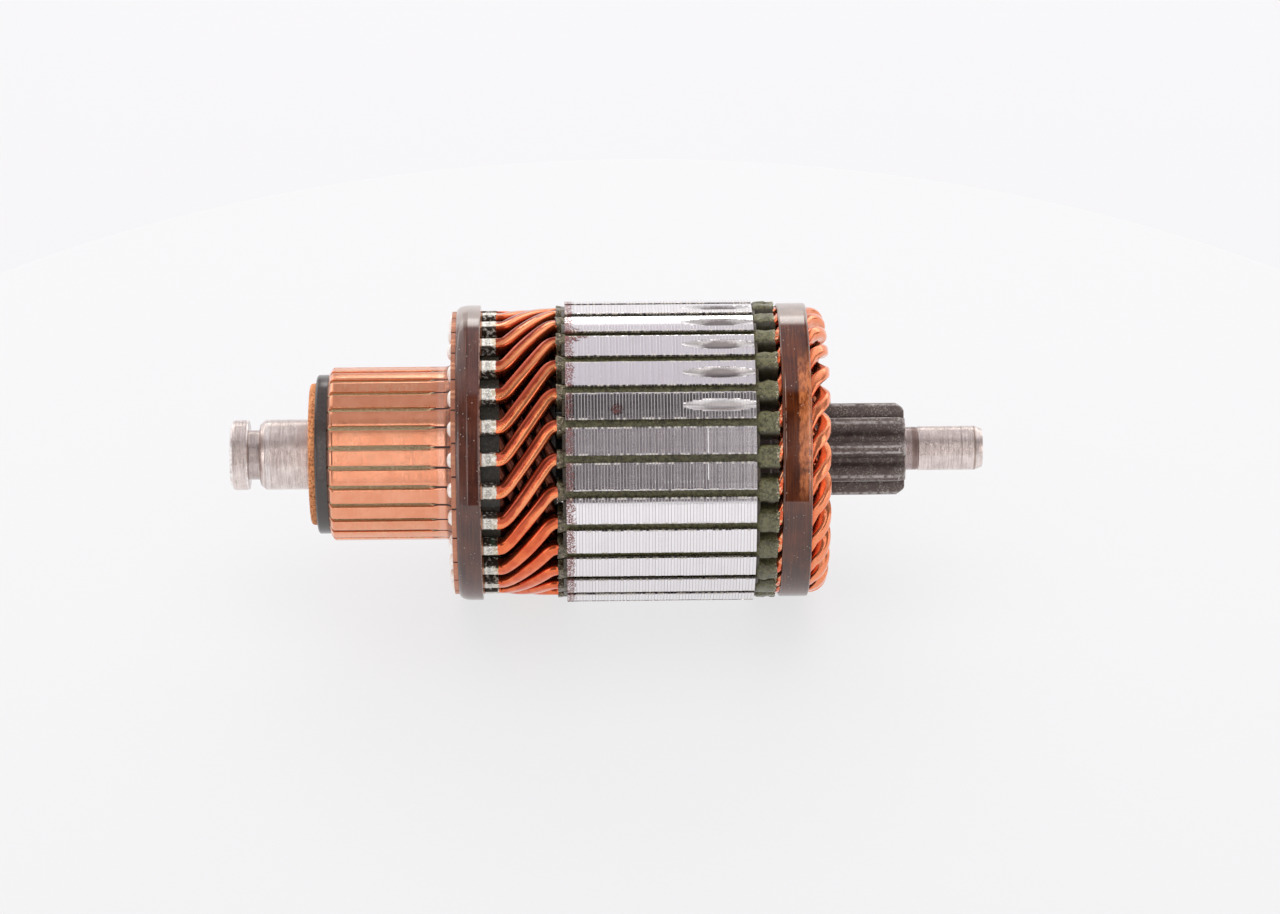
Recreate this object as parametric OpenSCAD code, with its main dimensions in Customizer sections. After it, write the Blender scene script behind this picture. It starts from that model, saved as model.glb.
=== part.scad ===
// Wound armature of a geared starter motor.
// The shaft axis is X, with the commutator end at -X and the pinion at +X.
// +Z is up. The origin is on the axis, at the middle of the commutator-end
// bearing seat. The rotor lies on its side, on the two tooth edges beside the
// slot that faces straight down.

/* [Core] */
// Outer diameter of the laminated core
core_d = 73; // [72.6:0.1:73.4]
// Length of the steel stack
core_len = 45; // [44.6:0.1:45.4]
// Width of each slot's opening at the surface
slot_open = 1.7; // [1.2:0.1:2.2]
// Width of each slot inside
slot_w = 4.2; // [4.15:0.05:4.4]
// Depth of the balancing cuts
balance_depth = 1.2; // [0.6:0.1:1.8]

/* [Winding] */
// Width of each copper bar, over its enamel
bar_w = 2.95; // [2.6:0.05:2.95]
// Height of each copper bar, over its enamel
bar_h = 3.2; // [3.0:0.05:3.2]
// Slots between the two sides of one coil
coil_span = 6; // [6]
// Wall of the slot insulation
liner_t = 0.25; // [0.2:0.05:0.3]

/* [Commutator] */
// Diameter of the brush track
track_d = 42; // [41.6:0.1:42.2]
// Number of bars, which is also the number of slots and coils
bars = 27; // [27]
// Thickness of the mica between bars
mica_t = 0.45; // [0.3:0.05:0.6]
// Width of the undercut sawn over each mica
undercut_w = 1.15; // [0.8:0.05:1.3]

/* [Shaft] */
// Diameter of the commutator-end bearing seat
seat_d = 17; // [16.6:0.1:17.2]
// Diameter of the drive-end bearing seat
nose_d = 10.7; // [10.5:0.1:10.9]
// Diameter at the bottom of the retaining groove
groove_d = 12; // [11:0.5:14]
// Number of pinion teeth
teeth = 9; // [9]
// Module of the pinion
gear_m = 2; // [2]
// Diameter over the pinion teeth
pinion_d = 22.46; // [22.2:0.02:22.6]

/* [Bindings] */
// Outer diameter of the front binding band
front_band_d = 71.8; // [71.2:0.1:72]
// Outer diameter of the rear binding band
rear_band_d = 71.5; // [71.2:0.1:71.8]

/* [Hidden] */
$fn = 96;

pitch = 360 / bars;              // angle from one slot to the next
core_r = core_d / 2;
core_x0 = 67.95;                 // front face of the steel stack
core_x1 = core_x0 + core_len;    // rear face of the steel stack
shaft_core_r = 9.6;              // shaft under the core
hub_seat_r = 9.0;                // shaft under the washer and the commutator

// slot section, measured along the radius
slot_z0 = 27.8;                  // bottom of the slot
slot_z1 = 35.3;                  // top of the wide part, under the tooth tips
liner_z0 = slot_z0 + 0.05;
liner_z1 = slot_z1 - 0.05;
outer_z = 33.35;                 // middle of the outer bar in the slot
inner_z = 29.8;                  // middle of the inner bar in the slot

// axial stations
end_x = -13.3;                   // commutator-end face of the shaft
groove_x0 = -8.8;
groove_x1 = -6.14;
washer_x0 = 6.14;                // fibre washer
hub_x0 = 7.85;                   // front face of the commutator moulding
track_x0 = 10.8;                 // front end of the bars
track_x1 = 39.2;                 // where the bars begin to rise
riser_x0 = 40.8;                 // front of the risers
riser_x1 = 45.4;                 // back of the risers
liner_x0 = 66.15;
liner_x1 = 117.45;
nose_x = 126.5;                  // centre of the fold at the drive end
pinion_x0 = 121.5;
pinion_x1 = 150;
tail_x = 169.1;                  // drive-end face of the shaft
track_r = track_d / 2;
riser_r = 34.3;
floor_r = track_r - 0.9;         // bottom of the undercut

// puts a radius drawn along +Z at the angle phi, which is measured from -Y
// towards +Z, so that 0 faces the front and 90 faces up
module at(phi) rotate([90 - phi, 0, 0]) children();
module each_slot() for (i = [0:bars - 1]) at(-90 + i * pitch) children();
module each_mica() for (i = [0:bars - 1]) at(-90 + (i + 0.5) * pitch) children();
// a turned shape from points of (radius, position along X)
module turned(p) rotate([0, 90, 0]) rotate_extrude() polygon(p);
// a section of (sideways, radial) points, run along X
module run_x(x0, x1) translate([x0, 0, 0]) rotate([90, 0, 90])
    linear_extrude(height = x1 - x0) children();
module box_x(x0, x1, w, z0, z1) translate([x0, -w / 2, z0]) cube([x1 - x0, w, z1 - z0]);

// ---------------------------------------------------------------- shaft
pitch_r = gear_m * teeth / 2;
base_r = pitch_r * cos(20);
tip_r = pinion_d / 2;
root_r = 7.2;
tooth_half = (PI * gear_m / 2 + 2 * 0.35 * gear_m * tan(20)) / 2 / pitch_r * 180 / PI;
function inv(a) = tan(a) * 180 / PI - a;
// half of a tooth's angle at radius r
function tooth_at(r) = tooth_half + inv(20) - inv(acos(base_r / r));
flank_n = 7;
flank = [for (i = [0:flank_n]) let (r = base_r + 0.02 + (tip_r - base_r - 0.02) * i / flank_n) [r, tooth_at(r)]];
foot = tooth_at(base_r + 0.02);
root_pts = [[root_r + 0.75, foot + 0.6], [root_r + 0.28, foot + 2.0], [root_r + 0.04, foot + 4.4]];
function polar(r, a) = [r * cos(a), r * sin(a)];
tooth_profile = [for (t = [0:teeth - 1])
    each concat(
        [for (i = [len(root_pts) - 1:-1:0]) polar(root_pts[i][0], t * 360 / teeth - root_pts[i][1])],
        [for (i = [0:flank_n]) polar(flank[i][0], t * 360 / teeth - flank[i][1])],
        [for (i = [flank_n:-1:0]) polar(flank[i][0], t * 360 / teeth + flank[i][1])],
        [for (i = [0:len(root_pts) - 1]) polar(root_pts[i][0], t * 360 / teeth + root_pts[i][1])])];
tooth_phi = 31.5;                // one tooth points almost at the front viewer

module pinion_teeth() intersection() {
    at(tooth_phi) translate([pinion_x0, 0, 0]) rotate([90, 0, 90])
        linear_extrude(height = pinion_x1 - pinion_x0)
            rotate(90) polygon(tooth_profile);
    turned([[0, pinion_x0], [8.6, pinion_x0], [tip_r + 0.4, pinion_x0 + 2.6],
            [tip_r + 0.4, pinion_x1 - 1.85], [tip_r - 1.35, pinion_x1],
            [0, pinion_x1]]);
}
module centre_drill(x, dir) translate([x, 0, 0]) rotate([0, 90 * dir, 0]) union() {
    translate([0, 0, -0.01]) cylinder(h = 1.9, r1 = 2.1, r2 = 1.0);
    cylinder(h = 4.5, r = 1.0);
}
module armature_shaft() color([0.60, 0.57, 0.56]) difference() {
    union() {
        turned([[0, end_x], [seat_d / 2 - 0.95, end_x], [seat_d / 2 - 0.25, end_x + 0.45],
                [seat_d / 2, end_x + 1.1], [seat_d / 2, groove_x0 - 0.25], [seat_d / 2 - 0.2, groove_x0],
                [groove_d / 2, groove_x0], [groove_d / 2, groove_x1],
                [seat_d / 2 - 1.1, groove_x1], [seat_d / 2, groove_x1 + 1.3],
                [seat_d / 2, washer_x0], [hub_seat_r, washer_x0], [hub_seat_r, 47.5],
                [shaft_core_r, 48.3], [shaft_core_r, core_x1 + 0.8],
                [11.6, core_x1 + 0.8], [11.6, core_x1 + 4.2], [11.2, core_x1 + 4.6],
                [8.4, core_x1 + 4.6], [8.4, pinion_x0 - 0.6], [7.0, pinion_x0],
                [7.0, pinion_x1 - 0.1], [5.9, pinion_x1 - 0.1], [nose_d / 2 - 0.12, pinion_x1 + 0.5],
                [nose_d / 2 - 0.12, pinion_x1 + 3.0], [nose_d / 2 - 0.22, pinion_x1 + 3.1],
                [nose_d / 2 - 0.22, pinion_x1 + 3.35], [nose_d / 2, pinion_x1 + 3.5],
                [nose_d / 2, tail_x - 1.9], [nose_d / 2 - 0.25, tail_x - 1.1],
                [nose_d / 2 - 0.7, tail_x], [0, tail_x]]);
        pinion_teeth();
    }
    centre_drill(end_x, 1);
    centre_drill(tail_x, -1);
}

// ---------------------------------------------------------------- core
module slot_section() polygon([
    [-slot_open / 2, core_r + 2], [-slot_open / 2, slot_z1 + 0.45],
    [-slot_w / 2, slot_z1], [-slot_w / 2, slot_z0],
    [slot_w / 2, slot_z0], [slot_w / 2, slot_z1],
    [slot_open / 2, slot_z1 + 0.45], [slot_open / 2, core_r + 2]]);
// one cut of a round vee-edged cutter, with its middle on a tooth
cutter_r = 35;
vee = 1.52;                      // half the width for each millimetre of depth
balance_x = 104.9;
module balance_cut() translate([balance_x, 0, core_r - balance_depth + cutter_r])
    rotate([90, 0, 0]) rotate_extrude()
        polygon([[cutter_r - 4, -4 * vee], [cutter_r, 0], [cutter_r - 4, 4 * vee], [0, 4 * vee], [0, -4 * vee]]);
module core_stack() color([0.52, 0.49, 0.52]) difference() {
    translate([core_x0, 0, 0]) rotate([0, 90, 0]) cylinder(h = core_len, r = core_r);
    translate([core_x0 - 1, 0, 0]) rotate([0, 90, 0]) cylinder(h = core_len + 2, r = shaft_core_r);
    each_slot() run_x(core_x0 - 1, core_x1 + 1) slot_section();
    for (i = [0:4]) at(-90 + (10.5 + i) * pitch) balance_cut();
}
module end_disc(x0) difference() {
    translate([x0, 0, 0]) rotate([0, 90, 0]) cylinder(h = 0.8, r = slot_z1 - 0.1);
    translate([x0 - 1, 0, 0]) rotate([0, 90, 0]) cylinder(h = 3, r = shaft_core_r);
    each_slot() box_x(x0 - 1, x0 + 2, slot_w, slot_z0, core_r + 2);
}
module front_end_disc() color([0.36, 0.30, 0.20]) end_disc(core_x0 - 0.8);
module rear_end_disc() color([0.36, 0.30, 0.20]) end_disc(core_x1);

// ---------------------------------------------------------------- slot insulation
liner_w = slot_w - 0.1;
module slot_liners() color([0.42, 0.42, 0.28]) each_slot() difference() {
    box_x(liner_x0, liner_x1, liner_w, liner_z0, liner_z1);
    box_x(liner_x0 - 1, liner_x1 + 1, liner_w - 2 * liner_t, liner_z0 + liner_t, liner_z1 - liner_t);
}
sep_z0 = inner_z + bar_h / 2 + 0.02;
sep_z1 = outer_z - bar_h / 2 - 0.02;
module slot_separators() color([0.50, 0.50, 0.34]) each_slot()
    box_x(liner_x0 + 0.1, liner_x1 - 0.1, liner_w - 2 * liner_t - 0.06, sep_z0, sep_z1);

// ---------------------------------------------------------------- coils
// Each coil is one bar, bent like a hairpin. Its outer side leaves a riser,
// leans over two slots on its way to the core, runs through the slot, leans
// over towards the drive end, folds inwards at the nose, and comes back as
// the inner side of a slot six further on. From there it leans five more
// slots to its other riser, which makes a wave winding that steps 13 bars.
out_tip_z = riser_r - bar_h / 2;
in_tip_z = out_tip_z - bar_h - 0.3;
out_lead = 2;
in_lead = (bars - 1) / 2 - out_lead - coil_span;
nose_out_z = 33.2;               // outer side where it meets the fold
nose_in_z = 27.6;                // inner side where it leaves the fold
fold_r = (nose_out_z - nose_in_z) / 2;
nose_turn = 19.2;
lean = (coil_span * pitch - nose_turn) / 2;
// distance along a lean with soft ends: 0 to 1 over 0 to 1, easing over e
function ease(t, e) = t < e ? t * t / (2 * e) / (1 - e)
    : t > 1 - e ? 1 - (1 - t) * (1 - t) / (2 * e) / (1 - e)
    : (t - e / 2) / (1 - e);
// Eases in only, for a lean that goes straight into the nose.
function ease_in(t, e) = (t < e ? t * t / (2 * e) : t - e / 2) / (1 - e / 2);
// path points: [x, angle, radius, fold]. Fold is 0 on the outer side and 180
// on the inner side.
s_steps = [0, 0.07, 0.14, 0.32, 0.5, 0.68, 0.86, 0.93, 1];
d_steps = [0, 0.08, 0.16, 0.55];
path = concat(
    [[riser_x0, -out_lead * pitch, out_tip_z, 0]],
    [for (t = s_steps) [51.8 + 14.0 * t, -out_lead * pitch * (1 - ease(t, 0.16)), out_tip_z + (outer_z - out_tip_z) * t, 0]],
    [for (t = d_steps) [117.6 + (nose_x - 117.6) * t, lean * ease_in(t, 0.16), outer_z + (nose_out_z - outer_z) * t, 0]],
    [for (b = [0:22.5:180]) [nose_x + fold_r * sin(b), lean + nose_turn * b / 180, (nose_out_z + nose_in_z) / 2 + fold_r * cos(b), b]],
    [for (i = [len(d_steps) - 1:-1:0]) let (t = d_steps[i]) [117.6 + (nose_x - 117.6) * t, coil_span * pitch - lean * ease_in(t, 0.16), inner_z + (nose_in_z - inner_z) * t, 180]],
    [for (i = [len(s_steps) - 1:-1:0]) let (t = s_steps[i]) [46.0 + 20.0 * t, (coil_span + in_lead * (1 - ease(t, 0.1))) * pitch,
        in_tip_z + (inner_z - in_tip_z) * max(0, (t - 0.36) / 0.64), 180]],
    [[riser_x0, (coil_span + in_lead) * pitch, in_tip_z, 180]]);
function place(q, phi) = [q[0], -q[2] * cos(q[1] + phi), q[2] * sin(q[1] + phi)];
function unit(v) = v / norm(v);
n_path = len(path);
// bar corners: half width, half height
hw = bar_w / 2;
hh = bar_h / 2;
// The bar's own face direction is radial in the slots and turns with the
// fold at the nose. Sideways is square to the path and to that direction.
function ring(k, phi) = let (
    q = path[k],
    p = place(q, phi),
    a = place(path[max(k - 1, 0)], phi),
    b = place(path[min(k + 1, n_path - 1)], phi),
    t1 = unit(k == 0 ? b - p : p - a),
    t2 = unit(k == n_path - 1 ? p - a : b - p),
    tn = unit(t1 + t2),
    radial = [0, -cos(q[1] + phi), sin(q[1] + phi)],
    face0 = [sin(q[3]), 0, 0] + cos(q[3]) * radial,
    side = unit(cross(tn, face0)),
    face = unit(cross(side, tn)))
    [p + hw * side + hh * face, p - hw * side + hh * face, p - hw * side - hh * face, p + hw * side - hh * face];
module coil(phi) polyhedron(
    points = [for (k = [0:n_path - 1]) each ring(k, phi)],
    faces = concat(
        [[0, 1, 2], [0, 2, 3]],
        [for (k = [0:n_path - 2]) each [for (j = [0:3]) each [
            [4 * k + j, 4 * k + 4 + j, 4 * k + (j + 1) % 4],
            [4 * k + (j + 1) % 4, 4 * k + 4 + j, 4 * k + 4 + (j + 1) % 4]]]],
        [let (e = 4 * (n_path - 1)) [e, e + 2, e + 1], let (e = 4 * (n_path - 1)) [e, e + 3, e + 2]]));
module armature_coils() color([0.78, 0.30, 0.10]) for (i = [0:bars - 1]) coil(-90 + i * pitch);

// ---------------------------------------------------------------- commutator
module saw_cut() {
    box_x(hub_x0 - 1, 33.4, undercut_w, floor_r, riser_r + 2);
    intersection() {
        translate([33.4, 0, floor_r + 4]) rotate([90, 0, 0]) cylinder(h = undercut_w, r = 4, center = true);
        box_x(33, 38, undercut_w, floor_r - 1, track_r + 2);
    }
}
anchor_r = 14.6;
module commutator_bars() color([0.80, 0.48, 0.38]) difference() {
    turned([[17.4, track_x0], [track_r - 1.7, track_x0], [track_r, track_x0 + 1.1], [track_r, track_x1],
            [track_r + 0.12, track_x1 + 0.55], [track_r + 0.5, track_x1 + 1.1], [track_r + 1.6, riser_x0],
            [riser_r, riser_x0], [riser_r, riser_x1], [18.2, riser_x1], [18.2, 40.6], [17.4, 40.6],
            [17.4, 36], [anchor_r, 38.5], [anchor_r, 14], [17.4, 16.5]]);
    each_mica() box_x(0, 60, mica_t, 5, 40);
    each_mica() saw_cut();
    // the slot in each riser that takes the ends of two coils
    each_slot() box_x(riser_x0 - 1, riser_x1 + 1, bar_w, in_tip_z - bar_h / 2, riser_r + 2);
}
module mica_segments() color([0.42, 0.38, 0.24]) difference() {
    intersection() {
        turned([[17.4, track_x0 + 0.4], [track_r - 0.9, track_x0 + 0.4], [track_r - 0.1, track_x0 + 1.4], [track_r - 0.1, track_x1],
                [track_r + 0.4, track_x1 + 1.3], [track_r + 1.5, riser_x0 + 0.15],
                [riser_r - 0.15, riser_x0 + 0.15], [riser_r - 0.15, riser_x1], [18.2, riser_x1], [18.2, 40.6], [17.4, 40.6],
                [17.4, 36], [anchor_r, 38.5], [anchor_r, 14], [17.4, 16.5]]);
        each_mica() box_x(0, 60, mica_t, 5, 40);
    }
    each_mica() saw_cut();
}
bush_r = 10.8;
module commutator_moulding() color([0.10, 0.10, 0.11]) difference() {
    turned([[bush_r, hub_x0], [18.9, hub_x0], [19.3, hub_x0 + 0.4], [19.3, track_x0], [17.4, track_x0],
            [17.4, 16.5], [anchor_r, 14], [anchor_r, 38.5], [17.4, 36], [17.4, 40.6], [18.2, 40.6],
            [18.2, riser_x1], [17.6, riser_x1 + 0.9], [bush_r, riser_x1 + 0.9]]);
    anchor_ring(12.5, 15.0);
    anchor_ring(37.5, 40.0);
}
module anchor_ring(x0, x1) difference() {
    translate([x0, 0, 0]) rotate([0, 90, 0]) cylinder(h = x1 - x0, r = 14.2);
    translate([x0 - 1, 0, 0]) rotate([0, 90, 0]) cylinder(h = x1 - x0 + 2, r = 12.6);
}
module front_anchor_ring() color([0.55, 0.55, 0.57]) anchor_ring(12.5, 15.0);
module rear_anchor_ring() color([0.55, 0.55, 0.57]) anchor_ring(37.5, 40.0);
module commutator_bush() color([0.58, 0.57, 0.56]) difference() {
    translate([hub_x0, 0, 0]) rotate([0, 90, 0]) cylinder(h = riser_x1 + 0.9 - hub_x0, r = bush_r);
    translate([hub_x0 - 1, 0, 0]) rotate([0, 90, 0]) cylinder(h = 42, r = hub_seat_r);
}
module fibre_washer() color([0.80, 0.42, 0.18]) turned([[hub_seat_r, washer_x0], [16.6, washer_x0], [17.0, washer_x0 + 0.25],
    [17.15, washer_x0 + 0.8], [17.15, hub_x0], [hub_seat_r, hub_x0]]);
// a low dome of weld metal over the ends of the two bars in each riser
module riser_welds() color([0.86, 0.80, 0.76]) each_slot() intersection() {
    translate([riser_x0 + 1.2, 0, 31.2]) sphere(r = 2.1, $fn = 48);
    box_x(riser_x0 - 3, riser_x0, 8, 24, 40);
}

// ---------------------------------------------------------------- bindings
module front_layer_insulation() color([0.40, 0.42, 0.28]) turned([[30.88, 45.9], [31.05, 45.9], [31.05, 52.2], [30.88, 52.2]]);
module rear_layer_insulation() color([0.40, 0.42, 0.28]) turned([[31.04, 119.6], [31.2, 119.6], [31.2, 125.9], [31.04, 125.9]]);
module front_band() color([0.36, 0.20, 0.18]) let (r = front_band_d / 2) turned([
    [riser_r + 0.05, 41.9], [r - 1.1, 41.9], [r - 0.7, 42.25], [r - 0.35, 42.85], [r - 0.12, 43.6], [r, 44.6],
    [r, 47.5], [r - 0.2, 47.75], [riser_r + 0.05, 47.75]]);
module rear_band() color([0.48, 0.22, 0.10]) let (r = rear_band_d / 2) turned([
    [35.0, 119.1], [r - 0.15, 119.1], [r, 119.3], [r, 125.95], [r - 0.15, 126.15], [35.0, 126.15]]);

armature_shaft();
core_stack();
front_end_disc();
rear_end_disc();
slot_liners();
slot_separators();
armature_coils();
commutator_bars();
mica_segments();
commutator_moulding();
commutator_bush();
front_anchor_ring();
rear_anchor_ring();
fibre_washer();
riser_welds();
front_layer_insulation();
rear_layer_insulation();
front_band();
rear_band();
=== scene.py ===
import math

import bmesh
import bpy
import numpy as np
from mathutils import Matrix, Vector
from mathutils.geometry import tessellate_polygon


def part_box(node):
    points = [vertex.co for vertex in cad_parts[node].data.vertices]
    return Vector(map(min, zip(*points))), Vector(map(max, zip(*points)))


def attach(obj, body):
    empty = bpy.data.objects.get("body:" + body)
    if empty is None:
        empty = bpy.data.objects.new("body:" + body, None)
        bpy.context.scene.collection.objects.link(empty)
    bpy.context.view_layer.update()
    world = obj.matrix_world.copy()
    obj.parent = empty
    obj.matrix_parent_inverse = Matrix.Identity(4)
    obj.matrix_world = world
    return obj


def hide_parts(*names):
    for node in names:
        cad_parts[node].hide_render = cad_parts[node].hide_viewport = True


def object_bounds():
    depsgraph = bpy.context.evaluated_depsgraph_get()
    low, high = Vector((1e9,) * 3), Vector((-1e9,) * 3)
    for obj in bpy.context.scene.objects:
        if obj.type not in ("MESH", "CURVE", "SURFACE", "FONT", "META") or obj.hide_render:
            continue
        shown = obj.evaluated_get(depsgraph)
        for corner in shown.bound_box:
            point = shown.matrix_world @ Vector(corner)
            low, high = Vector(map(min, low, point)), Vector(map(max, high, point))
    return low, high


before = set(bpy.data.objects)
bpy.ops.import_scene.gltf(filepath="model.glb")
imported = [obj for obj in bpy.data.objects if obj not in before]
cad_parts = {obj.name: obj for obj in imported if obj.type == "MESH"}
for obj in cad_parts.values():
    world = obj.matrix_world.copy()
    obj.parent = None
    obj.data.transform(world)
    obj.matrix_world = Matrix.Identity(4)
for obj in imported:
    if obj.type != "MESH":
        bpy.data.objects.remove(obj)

CAD_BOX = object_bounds()
MM = 0.001
BARS = 27
PITCH = 360 / BARS


def span(node):
    """A node's lowest and highest x, in mm, and its largest half size across, in mm."""
    lo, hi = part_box(node)
    return lo[0] / MM, hi[0] / MM, max(hi[1], -lo[1]) / MM


def rnd(seed):
    return np.random.default_rng(seed)


# ------------------------------------------------------------------ mesh code
def polar(x, phi, r):
    """Points from x, the angle from -Y up towards +Z in degrees, and the radius."""
    x, phi, r = np.broadcast_arrays(np.asarray(x, float), np.asarray(phi, float), np.asarray(r, float))
    a = np.radians(phi)
    return np.stack([x, -r * np.cos(a), r * np.sin(a)], -1)


def slot_frame(phi, x, w, z):
    """Points from x, sideways w and radial z, in the frame of the slot or tooth at phi."""
    x, w, z = np.broadcast_arrays(np.asarray(x, float), np.asarray(w, float), np.asarray(z, float))
    a = math.radians(phi)
    rad = np.array([0, -math.cos(a), math.sin(a)])
    side = np.array([0, math.sin(a), math.cos(a)])
    return np.stack([x, w * side[1] + z * rad[1], w * side[2] + z * rad[2]], -1)


def grid(rings, wrap=True, caps=True, loop=False, **attrs):
    """Skins successive rings of points. Returns (points, quads, triangles, attributes)."""
    rings = np.asarray(rings, float)
    n, m = rings.shape[:2]
    pts = rings.reshape(-1, 3)
    i = np.arange(n if loop else n - 1)[:, None]
    j = np.arange(m if wrap else m - 1)[None, :]
    a, b = i * m + j, i * m + (j + 1) % m
    c, d = ((i + 1) % n) * m + (j + 1) % m, ((i + 1) % n) * m + j
    quads = np.stack([a + 0 * b, b + 0 * a, c + 0 * a, d + 0 * a], -1).reshape(-1, 4)
    tris = []
    at = {k: np.broadcast_to(np.asarray(v, float), (n, m)).reshape(-1) for k, v in attrs.items()}
    if caps and wrap and not loop:
        for row in (0, n - 1):
            pts = np.vstack([pts, rings[row].mean(0)])
            k = len(pts) - 1
            idx = row * m + np.arange(m)
            tris.append(np.stack([idx, np.roll(idx, -1), np.full(m, k)], -1))
            at = {key: np.append(v, v[row * m : row * m + m].mean()) for key, v in at.items()}
    tris = np.vstack(tris) if tris else np.zeros((0, 3), int)
    return pts, quads, tris, at


def join(parts):
    pts, quads, tris, at, n = [], [], [], {}, 0
    for p in parts:
        pts.append(p[0])
        quads.append(np.asarray(p[1]).reshape(-1, 4) + n)
        tris.append(np.asarray(p[2]).reshape(-1, 3) + n)
        for k, v in p[3].items():
            at.setdefault(k, []).append(v)
        n += len(p[0])
    return np.vstack(pts), np.vstack(quads), np.vstack(tris), {k: np.concatenate(v) for k, v in at.items()}


def build(name, part, sharp=38):
    pts, quads, tris, at = part
    me = bpy.data.meshes.new(name)
    me.vertices.add(len(pts))
    me.vertices.foreach_set("co", (np.asarray(pts, np.float32) * MM).ravel())
    idx = np.concatenate([np.asarray(quads).ravel(), np.asarray(tris).ravel()]).astype(np.int32)
    me.loops.add(len(idx))
    me.loops.foreach_set("vertex_index", idx)
    nq, nt = len(quads), len(tris)
    starts = np.concatenate([np.arange(nq) * 4, nq * 4 + np.arange(nt) * 3]).astype(np.int32)
    me.polygons.add(nq + nt)
    me.polygons.foreach_set("loop_start", starts)
    me.update(calc_edges=True)
    for k, v in at.items():
        me.attributes.new(k, "FLOAT", "POINT").data.foreach_set("value", np.asarray(v, np.float32))
    bm = bmesh.new()
    bm.from_mesh(me)
    bmesh.ops.recalc_face_normals(bm, faces=bm.faces)
    bm.to_mesh(me)
    bm.free()
    me.polygons.foreach_set("use_smooth", np.ones(nq + nt, bool))
    me.set_sharp_from_angle(angle=math.radians(sharp))
    ob = bpy.data.objects.new(name, me)
    bpy.context.collection.objects.link(ob)
    return ob


def soften(profile, r=0.12, steps=3, loop=False):
    """Rounds each corner of a list of (x, r) points."""
    p = [np.array(q, float) for q in profile]
    n, out = len(p), []
    for i in range(n):
        if not loop and i in (0, n - 1):
            out.append(p[i])
            continue
        a, b, c = p[i - 1], p[i], p[(i + 1) % n]
        u, v = a - b, c - b
        lu, lv = np.linalg.norm(u), np.linalg.norm(v)
        if lu < 1e-9 or lv < 1e-9:
            out.append(b)
            continue
        cut = min(r, lu * 0.45, lv * 0.45)
        s, e = b + u / lu * cut, b + v / lv * cut
        for t in np.linspace(0, 1, steps):
            out.append((1 - t) ** 2 * s + 2 * t * (1 - t) * b + t * t * e)
    return np.array(out)


def densify(profile, step, x0=-1e9, x1=1e9, loop=False):
    """Adds points along a profile's long stretches."""
    p, out = np.asarray(profile, float), []
    n = len(p)
    for i in range(n if loop else n - 1):
        a, b = p[i], p[(i + 1) % n]
        out.append(a)
        mid = (a[0] + b[0]) / 2
        if x0 <= mid <= x1:
            k = int(np.linalg.norm(b - a) / step)
            for j in range(1, k + 1):
                out.append(a + (b - a) * j / (k + 1))
    if not loop:
        out.append(p[-1])
    return np.array(out)


def lathe(profile, n=192, loop=False, wobble=None):
    p = np.asarray(profile, float)
    phi = np.arange(n) * 360 / n
    x, r = np.broadcast_arrays(p[:, :1], p[:, 1:]) if False else (p[:, :1] + 0 * phi, p[:, 1:] + 0 * phi)
    if wobble is not None:
        dx, dr = wobble(x, np.broadcast_to(phi, x.shape), r)
        x, r = x + dx, r + dr
    return grid(polar(x, phi, r), caps=not loop, loop=loop)


def waves(seed, n, kmax, kx=0.0):
    """A smooth random function of angle and x, about -1 to 1, that closes on itself."""
    g = rnd(seed)
    ks, ph, am, wx = g.integers(1, kmax, n), g.uniform(0, 2 * np.pi, n), g.uniform(0.4, 1, n), g.uniform(-kx, kx, n)
    am = am / am.sum() * 1.8
    return lambda phi, x: sum(a * np.sin(np.radians(phi) * k + p + x * w) for k, p, a, w in zip(ks, ph, am, wx))


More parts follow.
